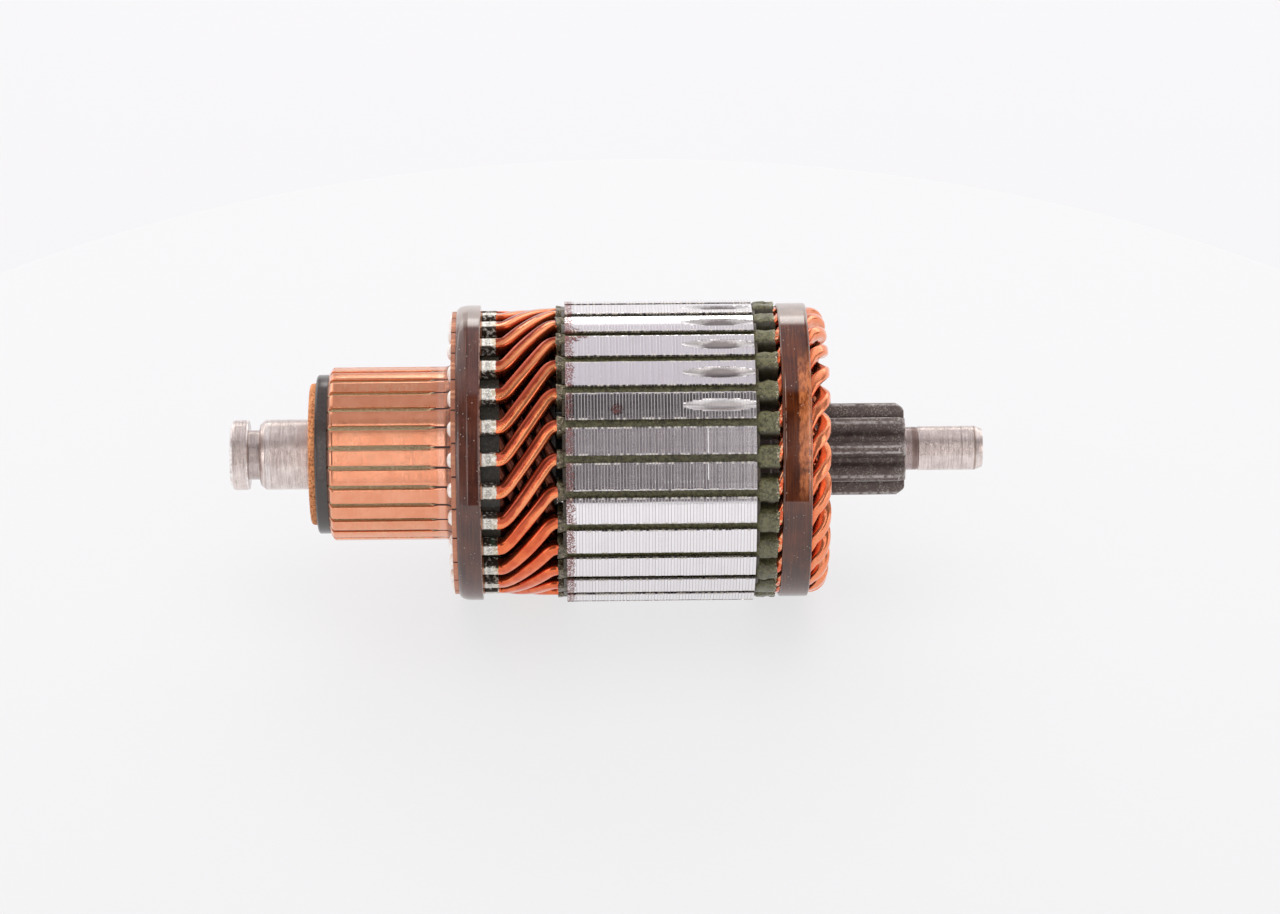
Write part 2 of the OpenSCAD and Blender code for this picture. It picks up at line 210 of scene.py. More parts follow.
# ------------------------------------------------------------------ node code
class Mat:
    """Builds a procedural material. Lengths in it are in millimetres."""

    def __init__(self, name):
        self.m = bpy.data.materials.new(name)
        self.m.use_nodes = True
        self.t = self.m.node_tree
        self.t.nodes.clear()
        out = self.t.nodes.new("ShaderNodeOutputMaterial")
        self.b = self.t.nodes.new("ShaderNodeBsdfPrincipled")
        self.t.links.new(self.b.outputs[0], out.inputs[0])
        co = self.t.nodes.new("ShaderNodeTexCoord")
        mm = self.n("ShaderNodeVectorMath", operation="SCALE")
        self.t.links.new(co.outputs["Object"], mm.inputs[0])
        mm.inputs["Scale"].default_value = 1000.0
        self.p = mm.outputs[0]
        sep = self.n("ShaderNodeSeparateXYZ")
        self.t.links.new(self.p, sep.inputs[0])
        self.x, self.y, self.z = sep.outputs
        self._phi = self._r = None

    def n(self, kind, **props):
        node = self.t.nodes.new(kind)
        for k, v in props.items():
            setattr(node, k, v)
        return node

    def put(self, socket, value):
        if isinstance(value, bpy.types.NodeSocket):
            self.t.links.new(value, socket)
        elif isinstance(value, (tuple, list)) and socket.type == "RGBA" and len(value) == 3:
            socket.default_value = (*value, 1.0)
        else:
            socket.default_value = value

    def set(self, **kw):
        for k, v in kw.items():
            self.put(self.b.inputs[k.replace("_", " ")], v)

    def math(self, op, a, b=0.0, c=0.0, clamp=False):
        node = self.n("ShaderNodeMath", operation=op, use_clamp=clamp)
        for s, v in zip(node.inputs, (a, b, c)):
            self.put(s, v)
        return node.outputs[0]

    def add(self, a, b): return self.math("ADD", a, b)
    def sub(self, a, b): return self.math("SUBTRACT", a, b)
    def mul(self, a, b): return self.math("MULTIPLY", a, b)

    @property
    def phi(self):
        if self._phi is None:
            self._phi = self.mul(self.math("ARCTAN2", self.z, self.mul(self.y, -1.0)), 180 / math.pi)
        return self._phi

    @property
    def r(self):
        if self._r is None:
            self._r = self.math("SQRT", self.add(self.mul(self.y, self.y), self.mul(self.z, self.z)))
        return self._r

    def vec(self, x, y, z):
        node = self.n("ShaderNodeCombineXYZ")
        for s, v in zip(node.inputs, (x, y, z)):
            self.put(s, v)
        return node.outputs[0]

    def scaled(self, sx, sy, sz):
        node = self.n("ShaderNodeVectorMath", operation="MULTIPLY")
        self.t.links.new(self.p, node.inputs[0])
        node.inputs[1].default_value = (sx, sy, sz)
        return node.outputs[0]

    def attr(self, name):
        return self.n("ShaderNodeAttribute", attribute_name=name).outputs["Fac"]

    def noise(self, vector, scale=1.0, detail=3.0, rough=0.5, dist=0.0):
        node = self.n("ShaderNodeTexNoise")
        self.put(node.inputs["Vector"], vector)
        for k, v in (("Scale", scale), ("Detail", detail), ("Roughness", rough), ("Distortion", dist)):
            self.put(node.inputs[k], v)
        return node.outputs["Fac"]

    def cells(self, vector, scale=1.0, feature="F1", out="Distance", rand=1.0):
        node = self.n("ShaderNodeTexVoronoi", feature=feature)
        self.put(node.inputs["Vector"], vector)
        self.put(node.inputs["Scale"], scale)
        self.put(node.inputs["Randomness"], rand)
        return node.outputs[out]

    def white(self, vector):
        node = self.n("ShaderNodeTexWhiteNoise", noise_dimensions="3D")
        self.put(node.inputs["Vector"], vector)
        return node.outputs["Value"]

    def ramp(self, fac, stops, interp="LINEAR"):
        node = self.n("ShaderNodeValToRGB")
        node.color_ramp.interpolation = interp
        e = node.color_ramp.elements
        while len(e) < len(stops):
            e.new(0.5)
        for item, (pos, col) in zip(e, stops):
            item.position = pos
            item.color = (col, col, col, 1) if isinstance(col, (int, float)) else (*col, 1)
        self.put(node.inputs[0], fac)
        return node.outputs[0]

    def smooth(self, v, lo, hi, a=0.0, b=1.0):
        node = self.n("ShaderNodeMapRange", interpolation_type="SMOOTHSTEP")
        for k, val in (("Value", v), ("From Min", lo), ("From Max", hi), ("To Min", a), ("To Max", b)):
            self.put(node.inputs[k], val)
        return node.outputs["Result"]

    def linear(self, v, lo, hi, a=0.0, b=1.0):
        node = self.n("ShaderNodeMapRange")
        for k, val in (("Value", v), ("From Min", lo), ("From Max", hi), ("To Min", a), ("To Max", b)):
            self.put(node.inputs[k], val)
        return node.outputs["Result"]

    def mix(self, fac, a, b, mode="MIX"):
        node = self.n("ShaderNodeMix", data_type="RGBA", blend_type=mode)
        self.put(node.inputs[0], fac)
        self.put(node.inputs[6], a)
        self.put(node.inputs[7], b)
        return node.outputs[2]

    def mixf(self, fac, a, b):
        node = self.n("ShaderNodeMix", data_type="FLOAT")
        self.put(node.inputs[0], fac)
        self.put(node.inputs[2], a)
        self.put(node.inputs[3], b)
        return node.outputs[0]

    def bump(self, height, depth, normal=None, strength=1.0):
        """depth is in millimetres for a height of 0 to 1."""
        node = self.n("ShaderNodeBump")
        node.inputs["Distance"].default_value = depth * MM
        node.inputs["Strength"].default_value = strength
        self.put(node.inputs["Height"], height)
        if normal is not None:
            self.put(node.inputs["Normal"], normal)
        return node.outputs[0]

    def around(self, v, x0, x1, soft=0.3):
        """1 between x0 and x1, with soft ends."""
        return self.mul(self.smooth(v, x0 - soft, x0 + soft), self.smooth(v, x1 - soft, x1 + soft, 1.0, 0.0))

    def spot(self, x, phi, dx, dphi):
        """1 at a place on the surface, falling to 0 at its rim."""
        a = self.math("DIVIDE", self.sub(self.x, x), dx)
        b = self.math("DIVIDE", self.sub(self.phi, phi), dphi)
        return self.smooth(self.math("SQRT", self.add(self.mul(a, a), self.mul(b, b))), 0.35, 1.0, 1.0, 0.0)


def dress(ob, mat):
    ob.data.materials.clear()
    ob.data.materials.append(mat.m)


def piece(name, part, mat, nodes=(), sharp=38):
    ob = build(name, part, sharp)
    dress(ob, mat)
    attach(ob, "root")
    if nodes:
        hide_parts(*nodes)
    return ob


# ------------------------------------------------------------------ camera, floor, lights
scene = bpy.context.scene
core_lo, core_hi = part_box("core_stack")
FLOOR_Z = CAD_BOX[0][2]
AIM_X = 0.08596
elev, yaw, dist = math.radians(33.0), math.radians(1.07), 1.102
back = Vector((-math.sin(yaw) * math.cos(elev), -math.cos(yaw) * math.cos(elev), math.sin(elev)))
up = Vector((math.sin(yaw) * math.sin(elev), math.cos(yaw) * math.sin(elev), math.cos(elev)))
aim = Vector((AIM_X, 0, 0)) - up * 0.00146
cam = bpy.data.objects.new("camera", bpy.data.cameras.new("camera"))
cam.data.lens = 127.4
cam.data.sensor_width = 36
cam.data.clip_start = 0.05
cam.data.clip_end = 30
cam.location = aim + back * dist
cam.rotation_euler = (-back).to_track_quat("-Z", "Y").to_euler()
bpy.context.collection.objects.link(cam)
scene.camera = cam
scene.view_settings.view_transform = "Standard"


def disc(name, centre, radius, z, painted_flank_strength, n=256):
    a = np.arange(n) * 2 * np.pi / n
    edge = painted_flank_strength * 0.25
    rings = [(radius, z - painted_flank_strength), (radius, z - edge), (radius - edge * 0.3, z - edge * 0.3), (radius - edge, z)]
    pts = [np.stack([centre[0] + r * np.cos(a), centre[1] + r * np.sin(a), np.full(n, h)], -1) / MM for r, h in rings]
    ob = build(name, grid(pts))
    return ob


def floor_material(name, tone):
    m = Mat(name)
    speck = m.noise(m.p, 0.9, 4)
    glow = m.mix(m.noise(m.p, 0.006, 2), [c * 0.985 for c in tone], tone)
    m.set(Base_Color=m.mix(speck, (0.105, 0.10, 0.105), (0.12, 0.115, 0.12)), Emission_Color=glow, Emission_Strength=GLOW, Roughness=m.mixf(speck, 0.5, 0.6), Specular_IOR_Level=0.15)
    return m


GLOW = 0.785


table = disc("floor_disc", (AIM_X, -0.066), 0.277, FLOOR_Z, 0.004)
dress(table, floor_material("floor_pale", (0.93, 0.93, 0.935)))
ground = disc("floor_wide", (AIM_X, 0.0), 6.0, FLOOR_Z - 0.004, 0.01)
dress(ground, floor_material("floor_wide_pale", (0.92, 0.915, 0.925)))
ground.visible_glossy = False

world = bpy.data.worlds.new("studio")
scene.world = world
world.use_nodes = True
wt = world.node_tree
wt.nodes.clear()
w_out = wt.nodes.new("ShaderNodeOutputWorld")
w_bg = wt.nodes.new("ShaderNodeBackground")
w_co = wt.nodes.new("ShaderNodeTexCoord")
w_sep = wt.nodes.new("ShaderNodeSeparateXYZ")
w_neg = wt.nodes.new("ShaderNodeMath"); w_neg.operation = "MULTIPLY"; w_neg.inputs[1].default_value = -1
w_ang = wt.nodes.new("ShaderNodeMath"); w_ang.operation = "ARCTAN2"
w_map = wt.nodes.new("ShaderNodeMapRange")
w_map.inputs["From Min"].default_value = -math.pi
w_map.inputs["From Max"].default_value = math.pi
w_ramp = wt.nodes.new("ShaderNodeValToRGB")
w_path = wt.nodes.new("ShaderNodeLightPath")
w_mix = wt.nodes.new("ShaderNodeMix"); w_mix.data_type = "RGBA"
w_cam = wt.nodes.new("ShaderNodeMix"); w_cam.data_type = "RGBA"
wt.links.new(w_co.outputs["Generated"], w_sep.inputs[0])
wt.links.new(w_sep.outputs["Y"], w_neg.inputs[0])
wt.links.new(w_sep.outputs["Z"], w_ang.inputs[0])
wt.links.new(w_neg.outputs[0], w_ang.inputs[1])
wt.links.new(w_ang.outputs[0], w_map.inputs["Value"])
wt.links.new(w_map.outputs[0], w_ramp.inputs[0])


def turn(deg):
    return (deg + 180) / 360


# What the shiny parts see, by the angle from the near horizon up and over: in the
# narrow strip where the camera stands, on both sides of it, and far to the sides.
SKY_MID = [(-180, (0.92, 0.91, 0.93)), (-19, (0.92, 0.90, 0.92)), (-10, (0.095, 0.08, 0.087)), (24, (0.088, 0.075, 0.08)), (32, (0.15, 0.13, 0.14)), (50, (0.14, 0.12, 0.13)),
           (60, (0.02, 0.016, 0.018)), (77, (0.02, 0.016, 0.018)), (82, (0.62, 0.58, 0.63)), (125, (0.61, 0.58, 0.62)), (147, (0.66, 0.63, 0.66)), (151, (3.2, 3.15, 3.1)),
           (159, (3.2, 3.15, 3.1)), (164, (0.98, 0.95, 0.94)), (180, (0.92, 0.91, 0.93))]
SKY_SIDE = [(-180, (0.92, 0.91, 0.93)), (-12, (0.98, 0.94, 0.94)), (3, (1.85, 1.76, 1.74)), (52, (1.85, 1.76, 1.74)), (66, (0.95, 0.89, 0.88)), (90, (0.42, 0.39, 0.39)),
            (140, (0.32, 0.29, 0.29)), (151, (0.32, 0.29, 0.29)), (160, (0.34, 0.31, 0.31)), (169, (0.40, 0.37, 0.37)), (176, (0.62, 0.59, 0.59)), (180, (0.90, 0.89, 0.91))]
SKY_FAR = [(-180, (0.92, 0.91, 0.93)), (-25, (0.90, 0.88, 0.89)), (0, (0.42, 0.39, 0.40)), (15, (0.20, 0.18, 0.18)), (72, (0.20, 0.18, 0.18)), (88, (0.60, 0.58, 0.60)),
           (105, (0.95, 0.93, 0.95)), (147, (1.30, 1.28, 1.28)), (151, (2.1, 2.05, 2.0)), (160, (2.1, 2.05, 2.0)), (164, (0.95, 0.94, 0.94)), (180, (0.92, 0.91, 0.93))]
w_far = wt.nodes.new("ShaderNodeValToRGB")
wt.links.new(w_map.outputs[0], w_far.inputs[0])
w_side = wt.nodes.new("ShaderNodeValToRGB")
wt.links.new(w_map.outputs[0], w_side.inputs[0])
for node, sky in ((w_ramp, SKY_MID), (w_side, SKY_SIDE), (w_far, SKY_FAR)):
    el = node.color_ramp.elements
    while len(el) < len(sky):
        el.new(0.5)
    for item, (deg, col) in zip(el, sky):
        item.position = turn(deg)
        item.color = (*col, 1)
w_lo = wt.nodes.new("ShaderNodeMapRange"); w_lo.interpolation_type = "SMOOTHSTEP"
w_hi = wt.nodes.new("ShaderNodeMapRange"); w_hi.interpolation_type = "SMOOTHSTEP"
for node, lo, hi, out in ((w_lo, -0.0455, -0.0415, (1.0, 0.0)), (w_hi, 0.052, 0.062, (0.0, 1.0))):
    node.inputs["From Min"].default_value = lo
    node.inputs["From Max"].default_value = hi
    node.inputs["To Min"].default_value, node.inputs["To Max"].default_value = out
w_off = wt.nodes.new("ShaderNodeMath"); w_off.operation = "MAXIMUM"
w_both = wt.nodes.new("ShaderNodeMix"); w_both.data_type = "RGBA"
for k, node in enumerate((w_lo, w_hi)):
    wt.links.new(w_sep.outputs["X"], node.inputs["Value"])
    wt.links.new(node.outputs[0], w_off.inputs[k])
wt.links.new(w_off.outputs[0], w_both.inputs[0])
wt.links.new(w_ramp.outputs[0], w_both.inputs[6])
wt.links.new(w_side.outputs[0], w_both.inputs[7])
w_mix.inputs[6].default_value = (0.98, 0.98, 1.0, 1)
wt.links.new(w_path.outputs["Is Glossy Ray"], w_mix.inputs[0])
w_abs = wt.nodes.new("ShaderNodeMath"); w_abs.operation = "ABSOLUTE"
w_in = wt.nodes.new("ShaderNodeMapRange"); w_in.interpolation_type = "SMOOTHSTEP"
w_end = wt.nodes.new("ShaderNodeMapRange"); w_end.interpolation_type = "SMOOTHSTEP"
w_fac = wt.nodes.new("ShaderNodeMath"); w_fac.operation = "MULTIPLY"
w_all = wt.nodes.new("ShaderNodeMix"); w_all.data_type = "RGBA"
wt.links.new(w_sep.outputs["X"], w_abs.inputs[0])
for k, (node, lo, hi, out) in enumerate(((w_in, 0.12, 0.22, (0.0, 1.0)), (w_end, 0.72, 0.90, (1.0, 0.0)))):
    node.inputs["From Min"].default_value, node.inputs["From Max"].default_value = lo, hi
    node.inputs["To Min"].default_value, node.inputs["To Max"].default_value = out
    wt.links.new(w_abs.outputs[0], node.inputs["Value"])
    wt.links.new(node.outputs[0], w_fac.inputs[k])
wt.links.new(w_fac.outputs[0], w_all.inputs[0])
wt.links.new(w_both.outputs[2], w_all.inputs[6])
wt.links.new(w_far.outputs[0], w_all.inputs[7])
wt.links.new(w_all.outputs[2], w_mix.inputs[7])
wt.links.new(w_path.outputs["Is Camera Ray"], w_cam.inputs[0])
wt.links.new(w_mix.outputs[2], w_cam.inputs[6])
w_cam.inputs[7].default_value = (0.955, 0.945, 0.945, 1)
wt.links.new(w_cam.outputs[2], w_bg.inputs[0])
w_bg.inputs[1].default_value = 1.0
world.cycles.sampling_method = "NONE"
wt.links.new(w_bg.outputs[0], w_out.inputs[0])


def lamp(name, place, aim_at, size, power, colour=(1, 1, 1), glossy=True):
    data = bpy.data.lights.new(name, "AREA")
    data.shape = "RECTANGLE"
    data.size, data.size_y = size
    data.energy = power
    data.color = colour
    ob = bpy.data.objects.new(name, data)
    ob.location = place
    ob.rotation_euler = (Vector(aim_at) - Vector(place)).to_track_quat("-Z", "Y").to_euler()
    ob.visible_glossy = glossy
    ob.visible_camera = False
    bpy.context.collection.objects.link(ob)
    return ob


lamp("back_light", (AIM_X, 1.1, 0.60), (AIM_X, 0, 0), (1.6, 0.5), 9.0, glossy=False)
lamp("top_light", (AIM_X, 0.15, 1.2), (AIM_X, 0, 0), (1.2, 1.0), 7.0, glossy=False)

# ------------------------------------------------------------------ stations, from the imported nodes
core_x0, core_x1, _ = span("core_stack")
core_r = 36.5
track_r = 21.0
riser_r = 34.3
riser_x0, bars_x1 = 40.8, span("commutator_bars")[1]
band_x0, band_x1, band_r = span("front_band")
rear_x0, rear_x1, rear_r = span("rear_band")
bars_x0 = span("commutator_bars")[0]
hub_x0, hub_x1, hub_r = span("commutator_moulding")
washer_x0 = span("fibre_washer")[0]
shaft_x0, shaft_x1, _ = span("armature_shaft")
liner_x0, liner_x1, _ = span("slot_liners")


# ------------------------------------------------------------------ shaft
def shaft_material():
    m = Mat("turned_steel")
    turned = m.noise(m.scaled(5.0, 0.16, 0.16), 1.0, 5, 0.7)
    fine = m.noise(m.scaled(38.0, 0.6, 0.6), 1.0, 2, 0.5)
    cloud = m.noise(m.p, 0.22, 4, 0.6)
    scr = m.noise(m.scaled(1.2, 5.0, 5.0), 1.3, 2, 0.4, 0.6)
    scratch = m.smooth(scr, 0.66, 0.72)
    rust = m.mul(m.smooth(m.noise(m.p, 1.7, 3, 0.7), 0.66, 0.76), m.smooth(m.noise(m.p, 0.35, 2), 0.45, 0.6))
    gear = m.around(m.x, 118.5, 150.0, 0.25)
    neck = m.around(m.x, 150.0, 153.4, 0.3)
    steel = m.mix(m.smooth(cloud, 0.3, 0.7), (0.70, 0.605, 0.575), (0.90, 0.795, 0.755))
    steel = m.mix(m.mul(m.smooth(turned, 0.48, 0.68), 0.75), steel, (0.40, 0.32, 0.295))
    steel = m.mix(m.mul(m.smooth(turned, 0.47, 0.30), 0.6), steel, (0.93, 0.86, 0.83))
    # painted highlights: bright lines at the collar's edges and beside the chamfer
    collar_rim_highlight = m.math("MAXIMUM", m.around(m.x, -13.4, -12.6, 0.12), m.around(m.x, -9.25, -8.9, 0.08))
    steel = m.mix(m.mul(collar_rim_highlight, m.smooth(m.noise(m.p, 0.5, 4, 0.7), 0.36, 0.56)), steel, (0.98, 0.95, 0.93))
    steel = m.mix(m.mul(m.around(m.x, -4.6, -3.6, 0.2), 0.35), steel, (0.98, 0.95, 0.93))
    steel = m.mix(m.mul(m.around(m.x, -8.9, -6.2, 0.1), 0.35), steel, (0.30, 0.25, 0.24))
    steel = m.mix(m.mul(scratch, 0.5), steel, (0.92, 0.87, 0.84))
    steel = m.mix(m.mul(rust, 0.8), steel, (0.20, 0.10, 0.05))
    steel = m.mix(m.mul(neck, 0.55), steel, (0.28, 0.20, 0.20))
    steel = m.mix(m.mul(m.around(m.x, 151.9, 153.3, 0.35), 0.7), steel, (0.20, 0.12, 0.10))
    steel = m.mix(m.mul(m.around(m.x, 163.8, 164.1, 0.12), m.mul(m.smooth(cloud, 0.35, 0.6), 0.55)), steel, (0.22, 0.16, 0.15))
    steel = m.mix(m.mul(m.around(m.x, 166.9, 167.4, 0.15), 0.6), steel, (0.24, 0.15, 0.10))
    pits = m.mul(m.smooth(m.noise(m.p, 3.2, 3, 0.65), 0.63, 0.69), m.smooth(m.noise(m.p, 0.30, 2), 0.42, 0.55))
    steel = m.mix(m.mul(pits, 0.8), steel, (0.13, 0.085, 0.075))
    # the pinion: dark scale, with pale dust in patches and bright worn edges
    dust = m.smooth(m.noise(m.p, 2.6, 5, 0.75), 0.50, 0.64)
    patch = m.smooth(m.noise(m.p, 0.30, 3, 0.6), 0.38, 0.56)
    scale = m.mix(m.noise(m.p, 1.1, 4, 0.6), (0.080, 0.060, 0.056), (0.185, 0.142, 0.130))
    scale = m.mix(m.mul(dust, m.mul(patch, 0.85)), scale, (0.46, 0.42, 0.37))
    edge = m.mul(m.attr("edge"), m.smooth(m.noise(m.p, 0.9, 3), 0.30, 0.62))
    scale = m.mix(m.mul(edge, 0.8), scale, (0.55, 0.52, 0.50))
    steel = m.mix(m.mul(m.around(m.x, 47.0, 119.0, 0.6), 0.93), steel, (0.030, 0.022, 0.018))
    colour = m.mix(gear, steel, scale)
    rough = m.mixf(gear, m.linear(turned, 0.3, 0.7, 0.17, 0.30), m.mixf(edge, 0.50, 0.32))
    height = m.add(m.mul(turned, 0.5), m.add(m.mul(fine, 0.35), m.mul(scratch, -0.6)))
    height = m.mixf(gear, height, m.noise(m.p, 1.8, 5, 0.7))
    m.set(Base_Color=colour, Metallic=m.mixf(gear, m.mixf(m.around(m.x, 47.0, 119.0, 0.6), 0.95, 0.0), m.mixf(m.mul(dust, patch), 0.45, 0.05)), Roughness=rough, Normal=m.bump(height, 0.05))
    return m


TEETH, GEAR_M, TIP_R, BASE_R, ROOT_R = 9, 2.0, 11.23, 9.0 * math.cos(math.radians(20)), 7.2


def inv(deg):
    return math.tan(math.radians(deg)) - math.radians(deg)


def tooth_half_angle(r):
    s = (math.pi * GEAR_M / 2 + 2 * 0.35 * GEAR_M * math.tan(math.radians(20))) / 2 / 9.0
    return math.degrees(s + inv(20) - inv(math.degrees(math.acos(min(1, BASE_R / r)))))


def gear_section():
    half = [(0.0, TIP_R), (0.45 * tooth_half_angle(TIP_R), TIP_R)]
    tip = tooth_half_angle(TIP_R)
    half += [(tip - 0.55, TIP_R - 0.012), (tip - 0.12, TIP_R - 0.07)]
    half += [(tooth_half_angle(r) + 0.02, r) for r in (11.05, 10.7, 10.3, 9.85, 9.4, 9.0, 8.7, 8.5)]
    foot = tooth_half_angle(8.5)
    half += [(foot + 0.35, 8.15), (foot + 0.8, 7.85), (foot + 1.6, 7.55), (foot + 2.8, 7.34), (foot + 4.4, 7.24), (20.0, 7.2)]
    phis, radii, edges = [], [], []
    for t in range(TEETH):
        c = 31.5 + t * 40.0
        for a, r in reversed(half[1:-1]):
            phis.append(c - a); radii.append(r); edges.append(1.0 if 10.95 < r < 11.22 else 0.0)
        for a, r in half[:-1]:
            phis.append(c + a); radii.append(r); edges.append(1.0 if 10.95 < r < 11.22 else 0.0)
        phis.append(c + 20.0); radii.append(ROOT_R); edges.append(0.0)
    return np.array(phis), np.array(radii), np.array(edges)


g_phi, g_r, g_edge = gear_section()
body = [(-8.8, 0.001), (-8.8, 1.0), (-11.4, 1.0), (-13.25, 2.1), (-13.3, 2.3), (-13.3, 7.5), (-12.85, 8.25), (-12.2, 8.5), (-9.05, 8.5),
        (-8.8, 8.28), (-8.8, 6.0), (-6.14, 6.0), (-6.14, 7.4), (-4.84, 8.5), (6.14, 8.5)]
rows = [(x, r, 0, 0) for x, r in densify(soften(body, 0.16), 1.2, -13, 6)]
rows += [(6.14, 9.0, 0, 0), (47.5, 9.0, 0, 0), (48.3, 9.6, 0, 0), (core_x1 + 0.8, 9.6, 0, 0), (core_x1 + 0.8, 11.6, 0, 0), (core_x1 + 4.2, 11.6, 0, 0),
         (core_x1 + 4.6, 11.2, 0, 0), (core_x1 + 4.6, 8.4, 0, 0), (120.9, 8.4, 0, 0), (121.5, 7.0, 0, 0)]
for x, cone in [(121.5, 8.6), (122.0, 9.2), (122.6, 9.9), (123.3, 10.7), (124.1, 11.6), (127, 12), (131, 12), (135, 12), (139, 12), (143, 12), (146.5, 12),
                (148.0, 12), (148.12, 11.30), (148.22, 11.17), (148.6, 10.89), (149.2, 10.45), (149.75, 10.05), (149.93, 9.88), (150.0, 9.72)]:
    rows.append((x, cone, 1, 1.0 if x > 148.05 and x < 148.5 else 0.0))
tail = [(150.0, 6.6), (149.9, 5.9), (150.5, 5.23), (153.0, 5.23), (153.1, 5.13), (153.35, 5.13), (153.5, 5.35), (167.2, 5.35), (168.0, 5.1), (169.1, 4.65),
        (169.1, 2.3), (169.05, 2.1), (167.2, 1.0), (164.6, 1.0), (164.6, 0.001)]
rows += [(x, r, 0, 0) for x, r in densify(soften(tail, 0.1), 1.2, 150, 169)]
nick = waves(3, 14, 40, 1.5)
shaft_rings, shaft_edge = [], []
for k, (x, r, is_gear, e) in enumerate(rows):
    rr = np.minimum(g_r, r) if is_gear else np.full(len(g_r), float(r))
    ed = (g_edge * (g_r <= r + 0.3) if is_gear else np.zeros(len(g_r)))
    if is_gear:
        ed = np.maximum(ed, np.where((g_r > r - 0.02) & (r < 11.4), e if e else (0.8 if x > 149.5 else 0.0), 0))
        rr = rr - 0.035 * np.clip(nick(g_phi * 3, x * 2), 0, 1) * ed
    elif r > 5.0 and (x < -4 or x > 166.5):
        rr = rr - 0.05 * np.clip(nick(g_phi, x) - 0.35, 0, 1)
    shaft_rings.append(polar(x, g_phi, rr))
    shaft_edge.append(ed)
MAT_SHAFT = shaft_material()
piece("shaft", grid(shaft_rings, edge=np.array(shaft_edge)), MAT_SHAFT, ["armature_shaft"], sharp=32)


# ------------------------------------------------------------------ laminated core
LAMS = 60
lam = (core_x1 - core_x0) / LAMS
cut_x, cutter_r, cut_depth = 104.9, 35.0, 1.2
CUTS = [-90 + (10.5 + i) * PITCH for i in range(5)]


